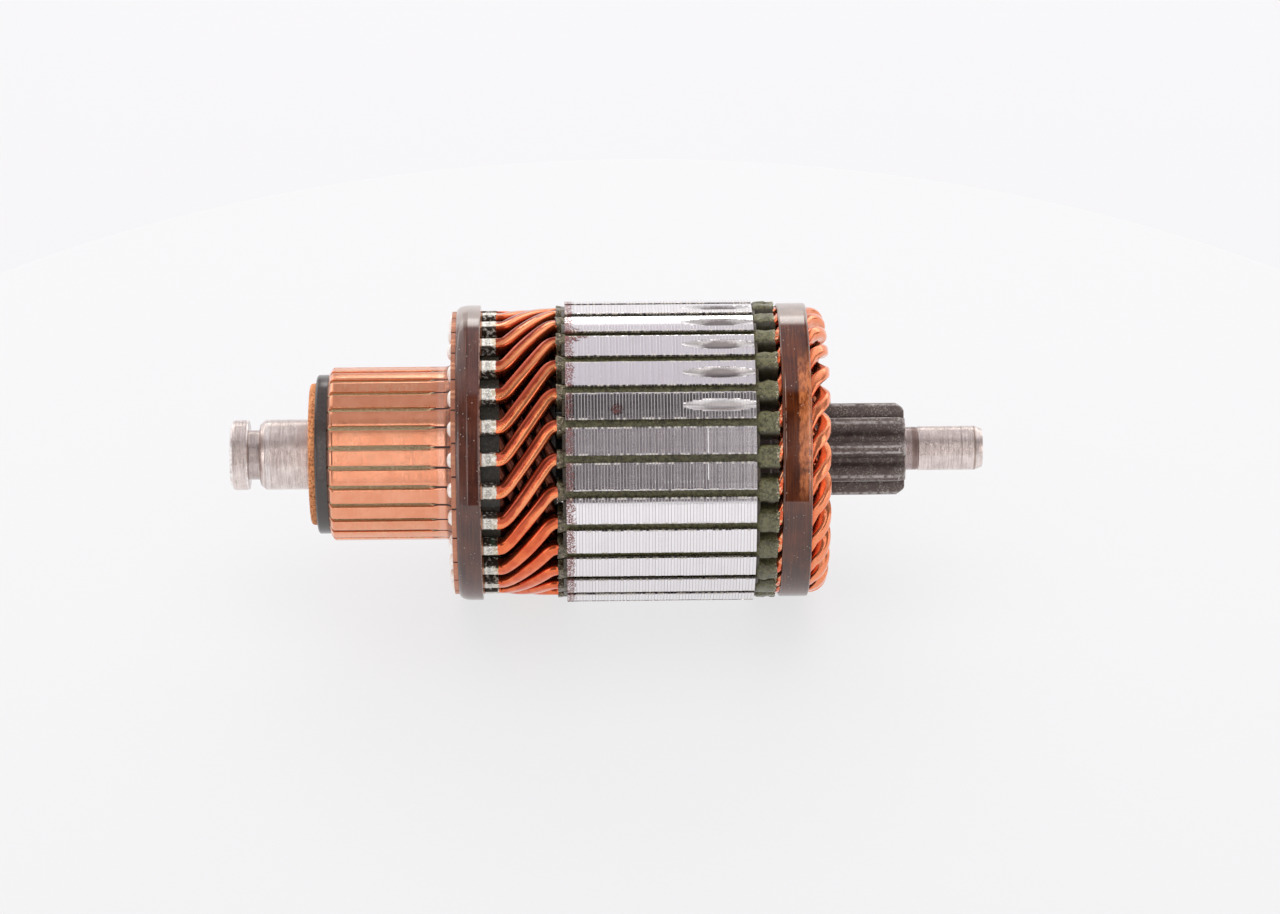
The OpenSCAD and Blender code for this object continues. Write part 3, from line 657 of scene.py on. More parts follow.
def core_parts():
    g = rnd(11)
    cols = []  # (tooth or slot angle, sideways, radial, kind, is edge, tooth number)
    for t in range(BARS):
        a, mid, b = -90 + t * PITCH, -90 + (t + 0.5) * PITCH, -90 + (t + 1) * PITCH
        side = [(2.1, 27.8, 0), (2.1, 35.3, 0), (0.85, 35.75, 0), (0.85, 36.2, 1), (0.93, 36.44, 2)]
        for w, z, e in side:
            cols.append((a, w, z, e, t, 0.0))
        cut = any(abs(mid - c) < 0.1 for c in CUTS)
        end = PITCH / 2 - math.degrees(math.asin(1.12 / core_r))
        for u in np.concatenate([[-1, -0.91], np.linspace(-0.8, 0.8, 17 if cut else 3), [0.91, 1]]):
            w = core_r * math.sin(math.radians(end * u)); z = core_r * math.cos(math.radians(end * u))
            cols.append((mid, w, z, 3, t, 1.0 if cut else 0.0, u))
        for w, z, e in reversed(side):
            cols.append((b, -w, z, e, t, 0.0))
    ang = np.array([c[0] for c in cols]); w = np.array([c[1] for c in cols]); z = np.array([c[2] for c in cols])
    kind = np.array([c[3] for c in cols]); tooth = np.array([c[4] for c in cols]); cut = np.array([c[5] for c in cols])
    end_u = np.array([c[6] if len(c) > 6 else 0.0 for c in cols])
    sgn = np.where(np.abs(end_u) > 0, np.sign(-end_u), np.sign(w))
    lam_dr = g.normal(0, 0.0008, LAMS); cell_dr = g.normal(0, 0.0008, (LAMS, BARS))
    burr_w = g.uniform(-0.05, 0.04, (LAMS, BARS, 2)); burr_z = g.uniform(0.0, 0.03, (LAMS, BARS, 2))
    rings, edge, fresh, lamv = [], [], [], []

    def ring(x, depth, i):
        half = (sgn > 0).astype(int)
        dr = lam_dr[i] + cell_dr[i, tooth] - depth
        ww, zz = w.copy(), z.copy()
        top = kind >= 2
        zz = np.where(top, zz + dr, zz)
        opening = (kind == 1) | (kind == 2)
        ww = np.where(opening, ww + sgn * (burr_w[i, tooth, half] + depth * 0.5), ww)
        zz = np.where(kind == 2, zz + burr_z[i, tooth, half] * (depth < 0.05), zz)
        # the balancing cuts
        rc = cutter_r - (np.sqrt(ww**2 + 0.36) - 0.6) * 1.12
        with np.errstate(invalid="ignore"):
            zc = core_r - cut_depth + cutter_r - np.sqrt(np.maximum(rc**2 - (x - cut_x) ** 2, 0))
        hit = (cut > 0) & (zc < zz)
        zz = np.where(hit, zc - depth * 0.12, zz)
        pts = np.zeros((len(ww), 3))
        for a in np.unique(ang):
            k = ang == a
            pts[k] = slot_frame(a, x, ww[k], zz[k])
        rings.append(pts)
        edge.append(np.where((opening | near_edge) & (depth < 0.05), burr_on[i, tooth, half], 0.0))
        fresh.append(hit.astype(float))
        lamv.append(np.full(len(ww), g_lam[i]))

    g_lam = g.uniform(0, 1, LAMS)
    burr_on = (g.uniform(0, 1, (LAMS, BARS, 2)) < 0.50) * g.uniform(0.3, 1.0, (LAMS, BARS, 2))
    near_edge = (kind == 3) & (np.abs(end_u) > 0.9)
    for i in range(LAMS):
        x = core_x0 + i * lam
        d = 0.014 + 0.004 * g.random()
        ring(x + (0.0 if i else 0.0), 0.02 if i == 0 else d, i)
        ring(x + 0.09, 0.0, i)
        ring(x + lam - 0.07, 0.0, i)
    ring(core_x1, 0.02, LAMS - 1)
    part = grid(rings, caps=False, edge=np.array(edge), fresh=np.array(fresh), lamv=np.array(lamv))
    pts, quads, tris, at = part
    n, m = len(rings), len(cols)
    bore_n = 96
    base = len(pts)
    b_phi = np.arange(bore_n) * 360 / bore_n
    bores = np.vstack([polar(core_x0, b_phi, 9.6), polar(core_x1, b_phi, 9.6)])
    pts = np.vstack([pts, bores])
    at = {k: np.append(v, np.zeros(2 * bore_n)) for k, v in at.items()}
    j = np.arange(bore_n)
    quads = np.vstack([quads, np.stack([base + j, base + (j + 1) % bore_n, base + bore_n + (j + 1) % bore_n, base + bore_n + j], -1)])
    more = []
    for row, off in ((0, 0), (n - 1, bore_n)):
        outer = [Vector((0, p[1], p[2])) for p in rings[row]]
        inner = [Vector((0, p[1], p[2])) for p in bores[off : off + bore_n]]
        ids = np.concatenate([row * m + np.arange(m), base + off + np.arange(bore_n)])
        more.append(ids[np.array(tessellate_polygon([outer, inner]))])
    return pts, quads, np.vstack([tris] + more), at


def core_material():
    m = Mat("lamination_steel")
    fresh = m.attr("fresh")
    along = m.noise(m.scaled(0.05, 1.6, 1.6), 1.0, 3, 0.6)
    cloud = m.noise(m.p, 0.16, 4, 0.6)
    lamv = m.attr("lamv")
    # each lamination takes its own shade, which drifts a little around the core
    drift = m.noise(m.vec(m.mul(lamv, 60.0), m.mul(m.y, 0.12), m.mul(m.z, 0.12)), 1.0, 2, 0.5)
    hatch = m.add(m.mul(lamv, 0.6), m.mul(drift, 0.4))
    colour = m.mix(m.smooth(hatch, 0.25, 0.75), (0.90, 0.87, 0.895), (0.95, 0.925, 0.95))
    colour = m.mix(m.mul(m.smooth(cloud, 0.5, 0.75), 0.15), colour, (0.66, 0.62, 0.64))
    # the grooves between laminations hold varnish and dirt; the slot walls below the tooth tops are darker
    in_lam = m.math("FRACT", m.math("DIVIDE", m.sub(m.x, core_x0), lam))
    across = m.math("ABSOLUTE", m.sub(m.math("FRACT", m.math("DIVIDE", m.add(m.phi, 90.0), PITCH)), 0.5))
    joint = m.math("MAXIMUM", m.smooth(in_lam, 0.10, 0.14, 1.0, 0.0), m.smooth(in_lam, 0.90, 0.94))
    joint = m.mul(m.mul(joint, m.sub(1.0, fresh)), m.linear(hatch, 0.3, 0.7, 0.55, 1.0))
    colour = m.mix(joint, colour, (0.50, 0.465, 0.465))
    wall = m.smooth(m.r, core_r - 0.16, core_r - 0.10, 1.0, 0.0)
    colour = m.mix(m.mul(wall, m.mul(m.sub(1.0, fresh), 0.7)), colour, (0.20, 0.175, 0.165))
    # reddish stain at the commutator end of each tooth
    edge_n = m.noise(m.p, 0.9, 4, 0.7)
    reach = m.add(core_x0 + 0.2, m.mul(edge_n, 3.2))
    stain = m.smooth(m.sub(m.x, reach), -0.6, 0.5, 1.0, 0.0)
    big = m.mul(m.spot(core_x0 + 1.6, 82.6, 5.2, 5.0), m.smooth(edge_n, 0.36, 0.6))
    stain = m.math("MAXIMUM", m.mul(stain, m.smooth(m.noise(m.p, 2.8, 4, 0.75), 0.43, 0.56)), big)
    spots = m.math("MAXIMUM", m.mul(m.spot(80.1, 48.7, 2.1, 3.2), m.smooth(m.noise(m.p, 1.7, 4, 0.8), 0.36, 0.62)),
                   m.mul(m.smooth(m.noise(m.p, 2.2, 3, 0.6), 0.70, 0.78), 0.7))
    colour = m.mix(m.smooth(stain, 0.0, 0.5, 0.0, 0.92), colour, (0.20, 0.060, 0.050))
    colour = m.mix(m.smooth(spots, 0.0, 0.75, 0.0, 0.96), colour, (0.13, 0.030, 0.024))
    dirt = m.smooth(m.math("MAXIMUM", stain, spots), 0.55, 1.0)
    # bright burrs where the tool dragged
    drag = m.mul(m.mul(m.around(m.x, 88.4, 100.6, 0.3), m.around(m.phi, 20.9, 21.7, 0.25)), m.smooth(hatch, 0.45, 0.55))
    colour = m.mix(m.mul(drag, 0.9), colour, (0.95, 0.94, 0.95))
    burr = m.mul(m.smooth(m.attr("edge"), 0.25, 0.6), m.mul(m.smooth(across, 0.343, 0.352), m.around(in_lam, 0.25, 0.75, 0.1)))
    colour = m.mix(m.mul(burr, 0.8), colour, (0.56, 0.50, 0.40))
    proud = m.math("MAXIMUM", m.around(m.phi, 32.0, 41.0, 0.4), m.around(m.phi, 22.2, 28.0, 0.4))
    proud = m.mul(m.mul(m.around(m.x, 101.38, 101.54, 0.05), proud), m.smooth(m.noise(m.scaled(0.3, 1.4, 1.4), 1.0, 3, 0.6), 0.30, 0.40))
    colour = m.mix(m.mul(proud, 0.95), colour, (1.0, 0.99, 0.98))
    # the milled hollows: bright, freshly cut steel, with a dark, mottled middle that is partly rough milling and partly
    # a painted dark reflection, weaker on the lowest hollow
    milled = m.noise(m.scaled(0.9, 1.6, 1.6), 1.0, 4, 0.7)
    tooth_phi = m.sub(m.math("FRACT", m.math("DIVIDE", m.add(m.phi, 90.0), PITCH)), 0.5)
    ox, ow = m.math("DIVIDE", m.sub(m.x, cut_x), 5.4), m.math("DIVIDE", tooth_phi, 0.20)
    milled_and_reflected_dark = m.add(m.math("SQRT", m.add(m.mul(ox, ox), m.mul(ow, ow))), m.mul(m.sub(milled, 0.5), 0.7))
    milled_and_reflected_dark = m.mul(m.smooth(milled_and_reflected_dark, 0.60, 1.05, 1.0, 0.0), m.smooth(m.phi, 54.0, 62.0, 0.55, 1.0))
    hollow = m.mix(m.smooth(milled, 0.3, 0.7), (0.93, 0.91, 0.90), (1.0, 0.985, 0.975))
    hollow = m.mix(m.mul(milled_and_reflected_dark, 0.9), hollow, (0.30, 0.265, 0.265))
    hollow = m.mix(m.mul(m.smooth(m.math("FRACT", m.math("DIVIDE", m.sub(m.x, core_x0), lam)), 0.88, 0.96), 0.25), hollow, (0.20, 0.18, 0.18))
    colour = m.mix(m.mul(fresh, 0.95), colour, hollow)
    rough = m.mixf(fresh, m.linear(hatch, 0.3, 0.7, 0.10, 0.08), 0.34)
    rough = m.mixf(joint, rough, 0.40)
    rough = m.mixf(m.math("MAXIMUM", burr, proud), rough, 0.6)
    rough = m.mixf(dirt, rough, 0.42)
    rough = m.add(rough, m.mul(m.sub(along, 0.5), 0.04))
    m.set(Base_Color=colour, Metallic=m.mixf(dirt, m.mixf(m.math("MAXIMUM", burr, proud), m.mixf(joint, 0.97, 0.45), 0.35), 0.05), Roughness=rough, Specular_IOR_Level=0.15, Normal=m.bump(along, 0.006))
    return m


MAT_CORE = core_material()
piece("core", core_parts(), MAT_CORE, ["core_stack"], sharp=4.5)


# ------------------------------------------------------------------ slot insulation
def liner_parts():
    parts = []
    for s in range(BARS):
        g = rnd(100 + s)
        phi = -90 + s * PITCH
        fl_w, fl_z, ragged = g.uniform(0.72, 1.02), g.uniform(0.45, 0.85), g.uniform(-0.25, 0.2)
        wob = waves(200 + s, 8, 6, 2.4)
        fine = waves(400 + s, 8, 9, 7.0)
        xs = np.concatenate([[65.85, 66.1, 66.5, 67.1, 67.7, 67.95, 68.3], np.linspace(69.3, 111.6, 36), [112.6, 112.95, 113.3, 113.8, 114.5, 115.3, 116.1, 116.9, 117.5, 118.3 + ragged]])
        rings_out, rings_in = [], []
        m = 24
        t = (np.arange(m) + 0.5) / m * 360
        ct, st = np.cos(np.radians(t)), np.sin(np.radians(t))
        for x in xs:
            f = max(0.0, min(1.0, (67.95 - x) / 1.6)) * 0.4 if x < 68 else max(0.0, min(1.0, (x - 112.95) / 0.7))
            f = f * f * (3 - 2 * f)
            e = 2 / (7.0 - 3.0 * f)
            hw, hz = 2.05 + fl_w * f, 3.70 + 0.5 * fl_z * f
            zc = 31.55 + 0.5 * fl_z * f
            w = hw * np.sign(ct) * np.abs(ct) ** e
            z = hz * np.sign(st) * np.abs(st) ** e
            lump = wob(t * 1.0, x) * 0.18 * f + fine(t, x) * 0.09 * f
            w, z = w * (1 + lump / 2.4), z * (1 + lump / 4.5)
            inside = 67.9 < x < 113.0
            if inside:
                up_ = (st > 0) & (np.abs(w) < 0.9)
                z = np.where(up_, z + 0.62 * np.clip((0.86 - np.abs(w)) / 0.3, 0, 1) + 0.10 * fine(t * 3, x * 3), z)
            jag = (0.22 * wob(t * 2, 7.0 + s) + 0.15 * fine(t * 3, 3.0)) if x in (xs[0], xs[-1]) else 0
            xx = x + jag
            rings_out.append(slot_frame(phi, xx, w, zc + z))
            iw, iz = w - 0.25 * np.sign(ct) * np.minimum(1, np.abs(w) / 1.0), np.where(inside & (st > 0), np.minimum(z, hz * np.abs(st) ** e) - 0.25, z - 0.25 * np.sign(st))
            rings_in.append(slot_frame(phi, xx, iw, zc + iz))
        shell = np.array(rings_out + rings_in[::-1])
        parts.append(grid(shell, caps=False, loop=True, rid=np.full(shell.shape[:2], g.random())))
    return join(parts)


def paper_material(name, dark, mid, pale, varnish=0.5):
    m = Mat(name)
    mott = m.noise(m.p, 1.3, 5, 0.7)
    fibre = m.noise(m.scaled(2.0, 6.0, 6.0), 1.0, 4, 0.7)
    colour = m.mix(m.smooth(mott, 0.36, 0.62), dark, mid)
    speck = m.smooth(m.noise(m.p, 3.4, 3, 0.6), 0.62, 0.72)
    colour = m.mix(m.mul(speck, 0.8), colour, pale)
    colour = m.mix(m.mul(m.smooth(m.noise(m.p, 0.7, 3), 0.60, 0.72), 0.5), colour, (0.09, 0.045, 0.02))
    if name == "slot_paper":
        colour = m.mix(m.mul(m.smooth(m.x, 67.2, 67.9, 1.0, 0.0), m.smooth(m.noise(m.p, 1.4, 4, 0.7), 0.34, 0.50, 0.15, 1.0)), colour, m.mix(m.smooth(m.noise(m.p, 2.3, 3, 0.7), 0.56, 0.64), m.mix(m.smooth(m.noise(m.p, 1.1, 3, 0.6), 0.42, 0.58), (0.030, 0.016, 0.008), (0.135, 0.105, 0.055)), (0.52, 0.43, 0.30)))
        colour = m.mix(m.mul(m.smooth(m.x, 117.3, 118.1), m.smooth(m.noise(m.p, 2.2, 3, 0.7), 0.53, 0.62)), colour, (0.66, 0.58, 0.42))
        # the lower side of each cuff sits in shade and old varnish
        across = m.math("FRACT", m.add(m.math("DIVIDE", m.add(m.phi, 90.0), PITCH), 0.5))
        foot = m.mul(m.smooth(across, 0.30, 0.16), m.smooth(m.x, 112.9, 113.4))
        colour = m.mix(m.mul(foot, 0.85), colour, (0.020, 0.014, 0.008))
    m.set(Base_Color=colour, Roughness=m.linear(mott, 0.3, 0.7, 0.35, 0.6), Specular_IOR_Level=0.5, Coat_Weight=varnish, Coat_Roughness=0.15,
          Normal=m.bump(m.add(m.mul(mott, 0.5), m.mul(fibre, 0.5)), 0.25))
    return m


MAT_LINER = paper_material("slot_paper", (0.040, 0.038, 0.013), (0.150, 0.140, 0.060), (0.56, 0.50, 0.34))
piece("slot_papers", liner_parts(), MAT_LINER, ["slot_liners"], sharp=50)


# ------------------------------------------------------------------ coils
OUT_LEAD, SPAN = 2, 6
IN_LEAD = 13 - OUT_LEAD - SPAN
BAR_H = 3.2
OUT_TIP = riser_r - BAR_H / 2
IN_TIP = OUT_TIP - BAR_H - 0.3
OUTER_Z, INNER_Z = 33.35, 29.8
NOSE_X, NOSE_OUT, NOSE_IN, NOSE_TURN = 126.5, 33.2, 27.6, 19.2
FOLD = (NOSE_OUT - NOSE_IN) / 2
LEAN = (SPAN * PITCH - NOSE_TURN) / 2
LEAN_X = 117.6


def ease(t, e):
    if t < e:
        return t * t / (2 * e) / (1 - e)
    if t > 1 - e:
        return 1 - (1 - t) ** 2 / (2 * e) / (1 - e)
    return (t - e / 2) / (1 - e)


def ease_in(t, e):
    return (t * t / (2 * e) if t < e else t - e / 2) / (1 - e / 2)


def coil_path():
    """Points of x, angle, radius, fold, width, height and squareness."""
    p = []
    for x in (40.8, 44.0, 46.4, 47.4):
        p.append((x, -OUT_LEAD * PITCH, OUT_TIP, 0, 2.9, 3.2, 8))
    for x in (47.9, 48.6, 49.6, 50.6, 51.2):
        p.append((x, -OUT_LEAD * PITCH, OUT_TIP - 0.02, 0, 3.42, 3.25, 8))
    for t in np.concatenate([[0, 0.03, 0.06, 0.1, 0.14, 0.18, 0.23], np.linspace(0.3, 0.7, 8), [0.77, 0.82, 0.86, 0.9, 0.94, 0.97, 1]]):
        k = min(1.0, t * 8)
        p.append((51.8 + 14.0 * t, -OUT_LEAD * PITCH * (1 - ease(t, 0.2)), OUT_TIP + (OUTER_Z - OUT_TIP) * t, 0, 3.3 - 0.05 * k, 3.2, 8 - 5.0 * k))
    for x in (70, 92, 114, 116.5):
        p.append((x, 0, OUTER_Z, 0, 3.2, 3.2, 4))
    for t in (0, 0.03, 0.06, 0.1, 0.14, 0.18, 0.26, 0.36, 0.48, 0.6, 0.72, 0.84, 0.93):
        p.append((LEAN_X + (NOSE_X - LEAN_X) * t, LEAN * ease_in(t, 0.16), OUTER_Z + (NOSE_OUT - OUTER_Z) * t, 0, 3.1 - 0.15 * t, 3.2, 3.6))
    for b in np.linspace(0, 180, 19):
        p.append((NOSE_X + FOLD * math.sin(math.radians(b)), LEAN + NOSE_TURN * b / 180, (NOSE_OUT + NOSE_IN) / 2 + FOLD * math.cos(math.radians(b)), b, 2.95, 3.2, 3.2))
    for t in (0.93, 0.84, 0.72, 0.6, 0.48, 0.36, 0.26, 0.18, 0.14, 0.1, 0.06, 0.03, 0):
        p.append((LEAN_X + (NOSE_X - LEAN_X) * t, SPAN * PITCH - LEAN * ease_in(t, 0.16), INNER_Z + (NOSE_IN - INNER_Z) * t, 180, 2.95, 3.15, 3.6))
    for x in (116.5, 114, 92, 70):
        p.append((x, SPAN * PITCH, INNER_Z, 180, 2.95, 3.2, 4))
    for t in np.concatenate([[1, 0.96, 0.92, 0.88, 0.84, 0.8], np.linspace(0.72, 0.24, 9), [0.18, 0.14, 0.1, 0.06, 0.03, 0]]):
        p.append((46.0 + 20.0 * t, (SPAN + IN_LEAD * (1 - ease(t, 0.1))) * PITCH, IN_TIP + (INNER_Z - IN_TIP) * max(0, (t - 0.36) / 0.64), 180, 2.9, 3.15, 4))
    p.append((43.0, (SPAN + IN_LEAD) * PITCH, IN_TIP, 180, 2.9, 3.2, 8))
    p.append((40.8, (SPAN + IN_LEAD) * PITCH, IN_TIP, 180, 2.9, 3.2, 8))
    return np.array(p, float)


COIL = coil_path()


def coil_parts():
    parts = []
    m = 20
    tt = (np.arange(m) + 0.5) / m * 2 * np.pi
    for c in range(BARS):
        g = rnd(700 + c)
        P = COIL.copy()
        x = P[:, 0]
        outer = P[:, 3] < 90
        bend = np.exp(-(((x - 58.5) / 4.5) ** 2))
        P[:, 1] += np.where(outer, bend * g.normal(0, 0.45), bend * g.normal(0, 0.15))
        P[:, 2] += np.where(outer, bend * g.normal(0.0, 0.12), 0)
        tip = outer & (x > 47.5) & (x < 51.7)
        P[:, 2] += np.where(tip, g.uniform(-0.10, 0.14), 0)
        P[:, 4] *= np.where(tip, g.uniform(0.97, 1.04), 1)
        P[:, 1] += np.where(tip | (outer & (x > 51.7) & (x < 53)), g.normal(0, 0.12), 0)
        pos = polar(x, P[:, 1] - 90 + c * PITCH, P[:, 2])
        d = np.diff(pos, axis=0)
        d /= np.linalg.norm(d, axis=1)[:, None]
        tan = np.vstack([d[:1], d[:-1] + d[1:], d[-1:]])
        tan /= np.linalg.norm(tan, axis=1)[:, None]
        a = np.radians(P[:, 1] - 90 + c * PITCH)
        radial = np.stack([0 * a, -np.cos(a), np.sin(a)], -1)
        b = np.radians(P[:, 3])[:, None]
        face0 = np.sin(b) * np.array([1.0, 0, 0]) + np.cos(b) * radial
        side = np.cross(tan, face0)
        side /= np.linalg.norm(side, axis=1)[:, None]
        face = np.cross(side, tan)
        e = (2 / P[:, 6])[:, None]
        cw = P[:, 4:5] / 2 * np.sign(np.cos(tt)) * np.abs(np.cos(tt)) ** e
        ch = P[:, 5:6] / 2 * np.sign(np.sin(tt)) * np.abs(np.sin(tt)) ** e
        # the crimping tool's dents on top of the tinned ends
        dent = np.exp(-(((x - g.uniform(49.2, 49.9)) / 0.55) ** 2))[:, None] * np.exp(-((cw / 0.9) ** 2)) * (ch > 0) * outer[:, None] * g.uniform(0.12, 0.3)
        ch = ch - dent
        rings = pos[:, None, :] + cw[..., None] * side[:, None, :] + ch[..., None] * face[:, None, :]
        parts.append(grid(rings, rid=np.full(rings.shape[:2], g.random()), leg=np.where(outer, 1.0, 0.0)[:, None] + 0 * cw,
                          upper=(np.clip(ch / 1.6, -1, 1) + 1) / 2, sidew=(np.clip(cw / 1.6, -1, 1) + 1) / 2, fold=np.sin(b) + 0 * cw))
    return join(parts)


def coil_material():
    m = Mat("enamelled_copper")
    rid = m.attr("rid")
    seed = m.vec(m.mul(rid, 91.0), m.mul(rid, 37.0), m.mul(rid, 53.0))
    shifted = m.n("ShaderNodeVectorMath", operation="ADD")
    m.t.links.new(m.p, shifted.inputs[0])
    m.t.links.new(seed, shifted.inputs[1])
    sp = shifted.outputs[0]
    cloud = m.noise(sp, 0.28, 4, 0.55)
    fine = m.noise(sp, 2.4, 4, 0.65)
    base = m.mix(m.smooth(cloud, 0.3, 0.7), (0.78, 0.108, 0.027), (1.0, 0.212, 0.060))
    base = m.mix(m.mul(m.smooth(m.noise(sp, 0.8, 3, 0.6), 0.55, 0.75), 0.25), base, (0.33, 0.045, 0.015))
    base = m.mix(m.mul(m.smooth(fine, 0.70, 0.78), 0.25), base, (0.10, 0.03, 0.02))
    inner = m.smooth(m.attr("leg"), 0.4, 0.6, 1.0, 0.0)
    # painted shade: the lower half of each outer bar is darker, most of all in the S-bends
    deep = m.smooth(m.attr("upper"), 0.42, 0.86, 1.0, 0.0)
    front = m.smooth(m.x, 67.0, 69.0, 1.0, 0.0)
    base = m.mix(m.mul(m.mul(deep, m.sub(1.0, inner)), m.mixf(front, 0.55, 0.9)), base, (0.20, 0.026, 0.010))
    # painted shade on one flank of each bar and a painted highlight streak along the other, strongest on the upper bars
    # of the S-bends
    sidew = m.attr("sidew")
    painted_flank_strength = m.mul(front, m.smooth(m.phi, -8.0, 14.0, 0.12, 0.70))
    painted_dark_flank = m.smooth(m.add(sidew, m.mul(m.sub(cloud, 0.5), 0.5)), 0.42, 0.56, 1.0, 0.0)
    base = m.mix(m.mul(painted_dark_flank, painted_flank_strength), base, (0.27, 0.026, 0.010))
    # painted highlight: a bright streak along the upper part of the other flank
    base = m.mix(m.mul(m.around(m.add(sidew, m.mul(m.sub(cloud, 0.5), 0.3)), 0.57, 0.88, 0.06), m.mul(painted_flank_strength, m.smooth(m.attr("upper"), 0.5, 0.8))), base, (1.0, 0.41, 0.180))
    # painted shade: the inner legs, seen only in the gaps under the outer bars, are darkened, most of all in the
    # S-bends and between the cuff ends
    base = m.mix(m.mul(inner, m.mixf(front, 0.55, 0.93)), base, (0.040, 0.012, 0.007))
    base = m.mix(m.mul(m.mul(m.around(m.x, 116.5, 119.4, 0.3), inner), 0.8), base, (0.06, 0.02, 0.01))
    # painted highlight: a bright patch on top of each outer bar where it leaves its cuff
    cuff_end_highlight = m.mul(m.mul(m.around(m.x, 117.6, 119.2, 0.25), m.smooth(m.attr("upper"), 0.6, 0.9)), m.smooth(m.noise(sp, 0.9, 3, 0.6), 0.50, 0.58))
    base = m.mix(m.mul(m.mul(cuff_end_highlight, m.sub(1.0, inner)), 0.9), base, (1.0, 0.52, 0.30))
    base = m.mix(m.mul(m.smooth(m.x, 125.6, 127.4), 0.75), base, m.mix(m.smooth(fine, 0.35, 0.65), (0.98, 0.27, 0.11), (1.0, 0.43, 0.22)))
    # the tinned ends
    edge = m.add(51.5, m.mul(m.sub(m.noise(sp, 1.1, 3, 0.6), 0.5), 1.3))
    tin = m.smooth(m.sub(m.x, edge), -0.12, 0.12, 1.0, 0.0)
    bare = m.smooth(m.x, 47.98, 48.1, 1.0, 0.0)
    stain = m.mul(m.smooth(m.x, 49.6, 51.4), m.smooth(m.noise(sp, 0.9, 3), 0.38, 0.62))
    tinned = m.mix(m.smooth(m.noise(sp, 1.6, 4, 0.7), 0.35, 0.65), (0.62, 0.58, 0.50), (1.0, 0.97, 0.90))
    tinned = m.mix(m.mul(stain, 0.7), tinned, (0.42, 0.30, 0.12))
    tinned = m.mix(m.mul(m.mul(m.smooth(m.x, 48.7, 49.3), m.smooth(m.x, 49.9, 50.4, 1.0, 0.0)), m.mul(m.smooth(m.noise(sp, 2.2, 2), 0.42, 0.55), 0.5)), tinned, (0.22, 0.22, 0.21))
    tinned = m.mix(m.around(m.x, 48.1, 48.2, 0.06), tinned, (0.05, 0.04, 0.03))
    # painted shade: the tinned ends are darker along both sides, where they face their neighbours
    rim = m.math("MAXIMUM", m.smooth(sidew, 0.03, 0.10, 1.0, 0.0), m.smooth(sidew, 0.90, 0.97))
    tinned = m.mix(m.mul(rim, m.smooth(m.noise(sp, 1.2, 3), 0.35, 0.5)), tinned, (0.05, 0.035, 0.025))
    marks = m.noise(m.vec(m.mul(m.x, 2.6), m.mul(sidew, 7.0), m.mul(rid, 50.0)), 1.0, 2, 0.5)
    marks = m.mul(m.around(marks, 0.47, 0.52, 0.012), m.mul(m.around(m.x, 48.9, 50.4, 0.2), m.around(sidew, 0.25, 0.75, 0.06)))
    tinned = m.mix(m.mul(marks, 0.85), tinned, (0.06, 0.05, 0.045))
    tinned = m.mix(bare, tinned, (0.62, 0.27, 0.15))
    green = m.mul(m.spot(50.4, -4.0, 1.6, 4.5), m.smooth(m.noise(m.p, 1.6, 3), 0.4, 0.6))
    tinned = m.mix(m.mul(green, 0.8), tinned, (0.05, 0.30, 0.14))
    colour = m.mix(tin, base, tinned)
    rough = m.mixf(tin, m.linear(fine, 0.3, 0.7, 0.12, 0.20), m.linear(fine, 0.3, 0.7, 0.35, 0.55))
    height = m.mixf(tin, m.add(m.mul(cloud, 0.7), m.mul(fine, 0.3)), m.noise(sp, 1.9, 4, 0.7))
    m.set(Base_Color=colour, Metallic=m.mixf(tin, 0.88, 0.35), Roughness=rough, Coat_Weight=m.mixf(tin, m.mixf(inner, 0.5, 0.08), 0.1), Coat_Roughness=0.03, Coat_IOR=1.55,
          Normal=m.bump(height, 0.07))
    return m


MAT_COIL = coil_material()
piece("coils", coil_parts(), MAT_COIL, ["armature_coils"], sharp=60)


# a near-black ring under the winding head: packing, and painted shade seen only as darkness between the bars
def packing_and_shade_material():
    m = Mat("packing_and_shade")
    n1 = m.noise(m.p, 0.9, 4, 0.7)
    m.set(Base_Color=m.mix(n1, (0.010, 0.006, 0.004), (0.035, 0.020, 0.012)), Roughness=0.35, Coat_Weight=0.4, Coat_Roughness=0.2, Normal=m.bump(n1, 0.4))
    return m


def packing_and_shade_parts():
    rings = []
    lump = waves(88, 20, 30, 1.0)
    for x, r in ((57.5, 27.2), (57.6, 28.4), (59.0, 28.9), (61.5, 29.3), (64.0, 29.7), (65.5, 29.9), (65.6, 27.2)):
        phi = np.arange(216) * 360 / 216
        rings.append(polar(x, phi, r + (0.25 * lump(phi, x) if r > 28 else 0)))
    return grid(rings, caps=False, loop=True)


piece("winding_packing_and_shade", packing_and_shade_parts(), packing_and_shade_material(), (), sharp=60)


# ------------------------------------------------------------------ commutator
FLOOR_R = 20.1


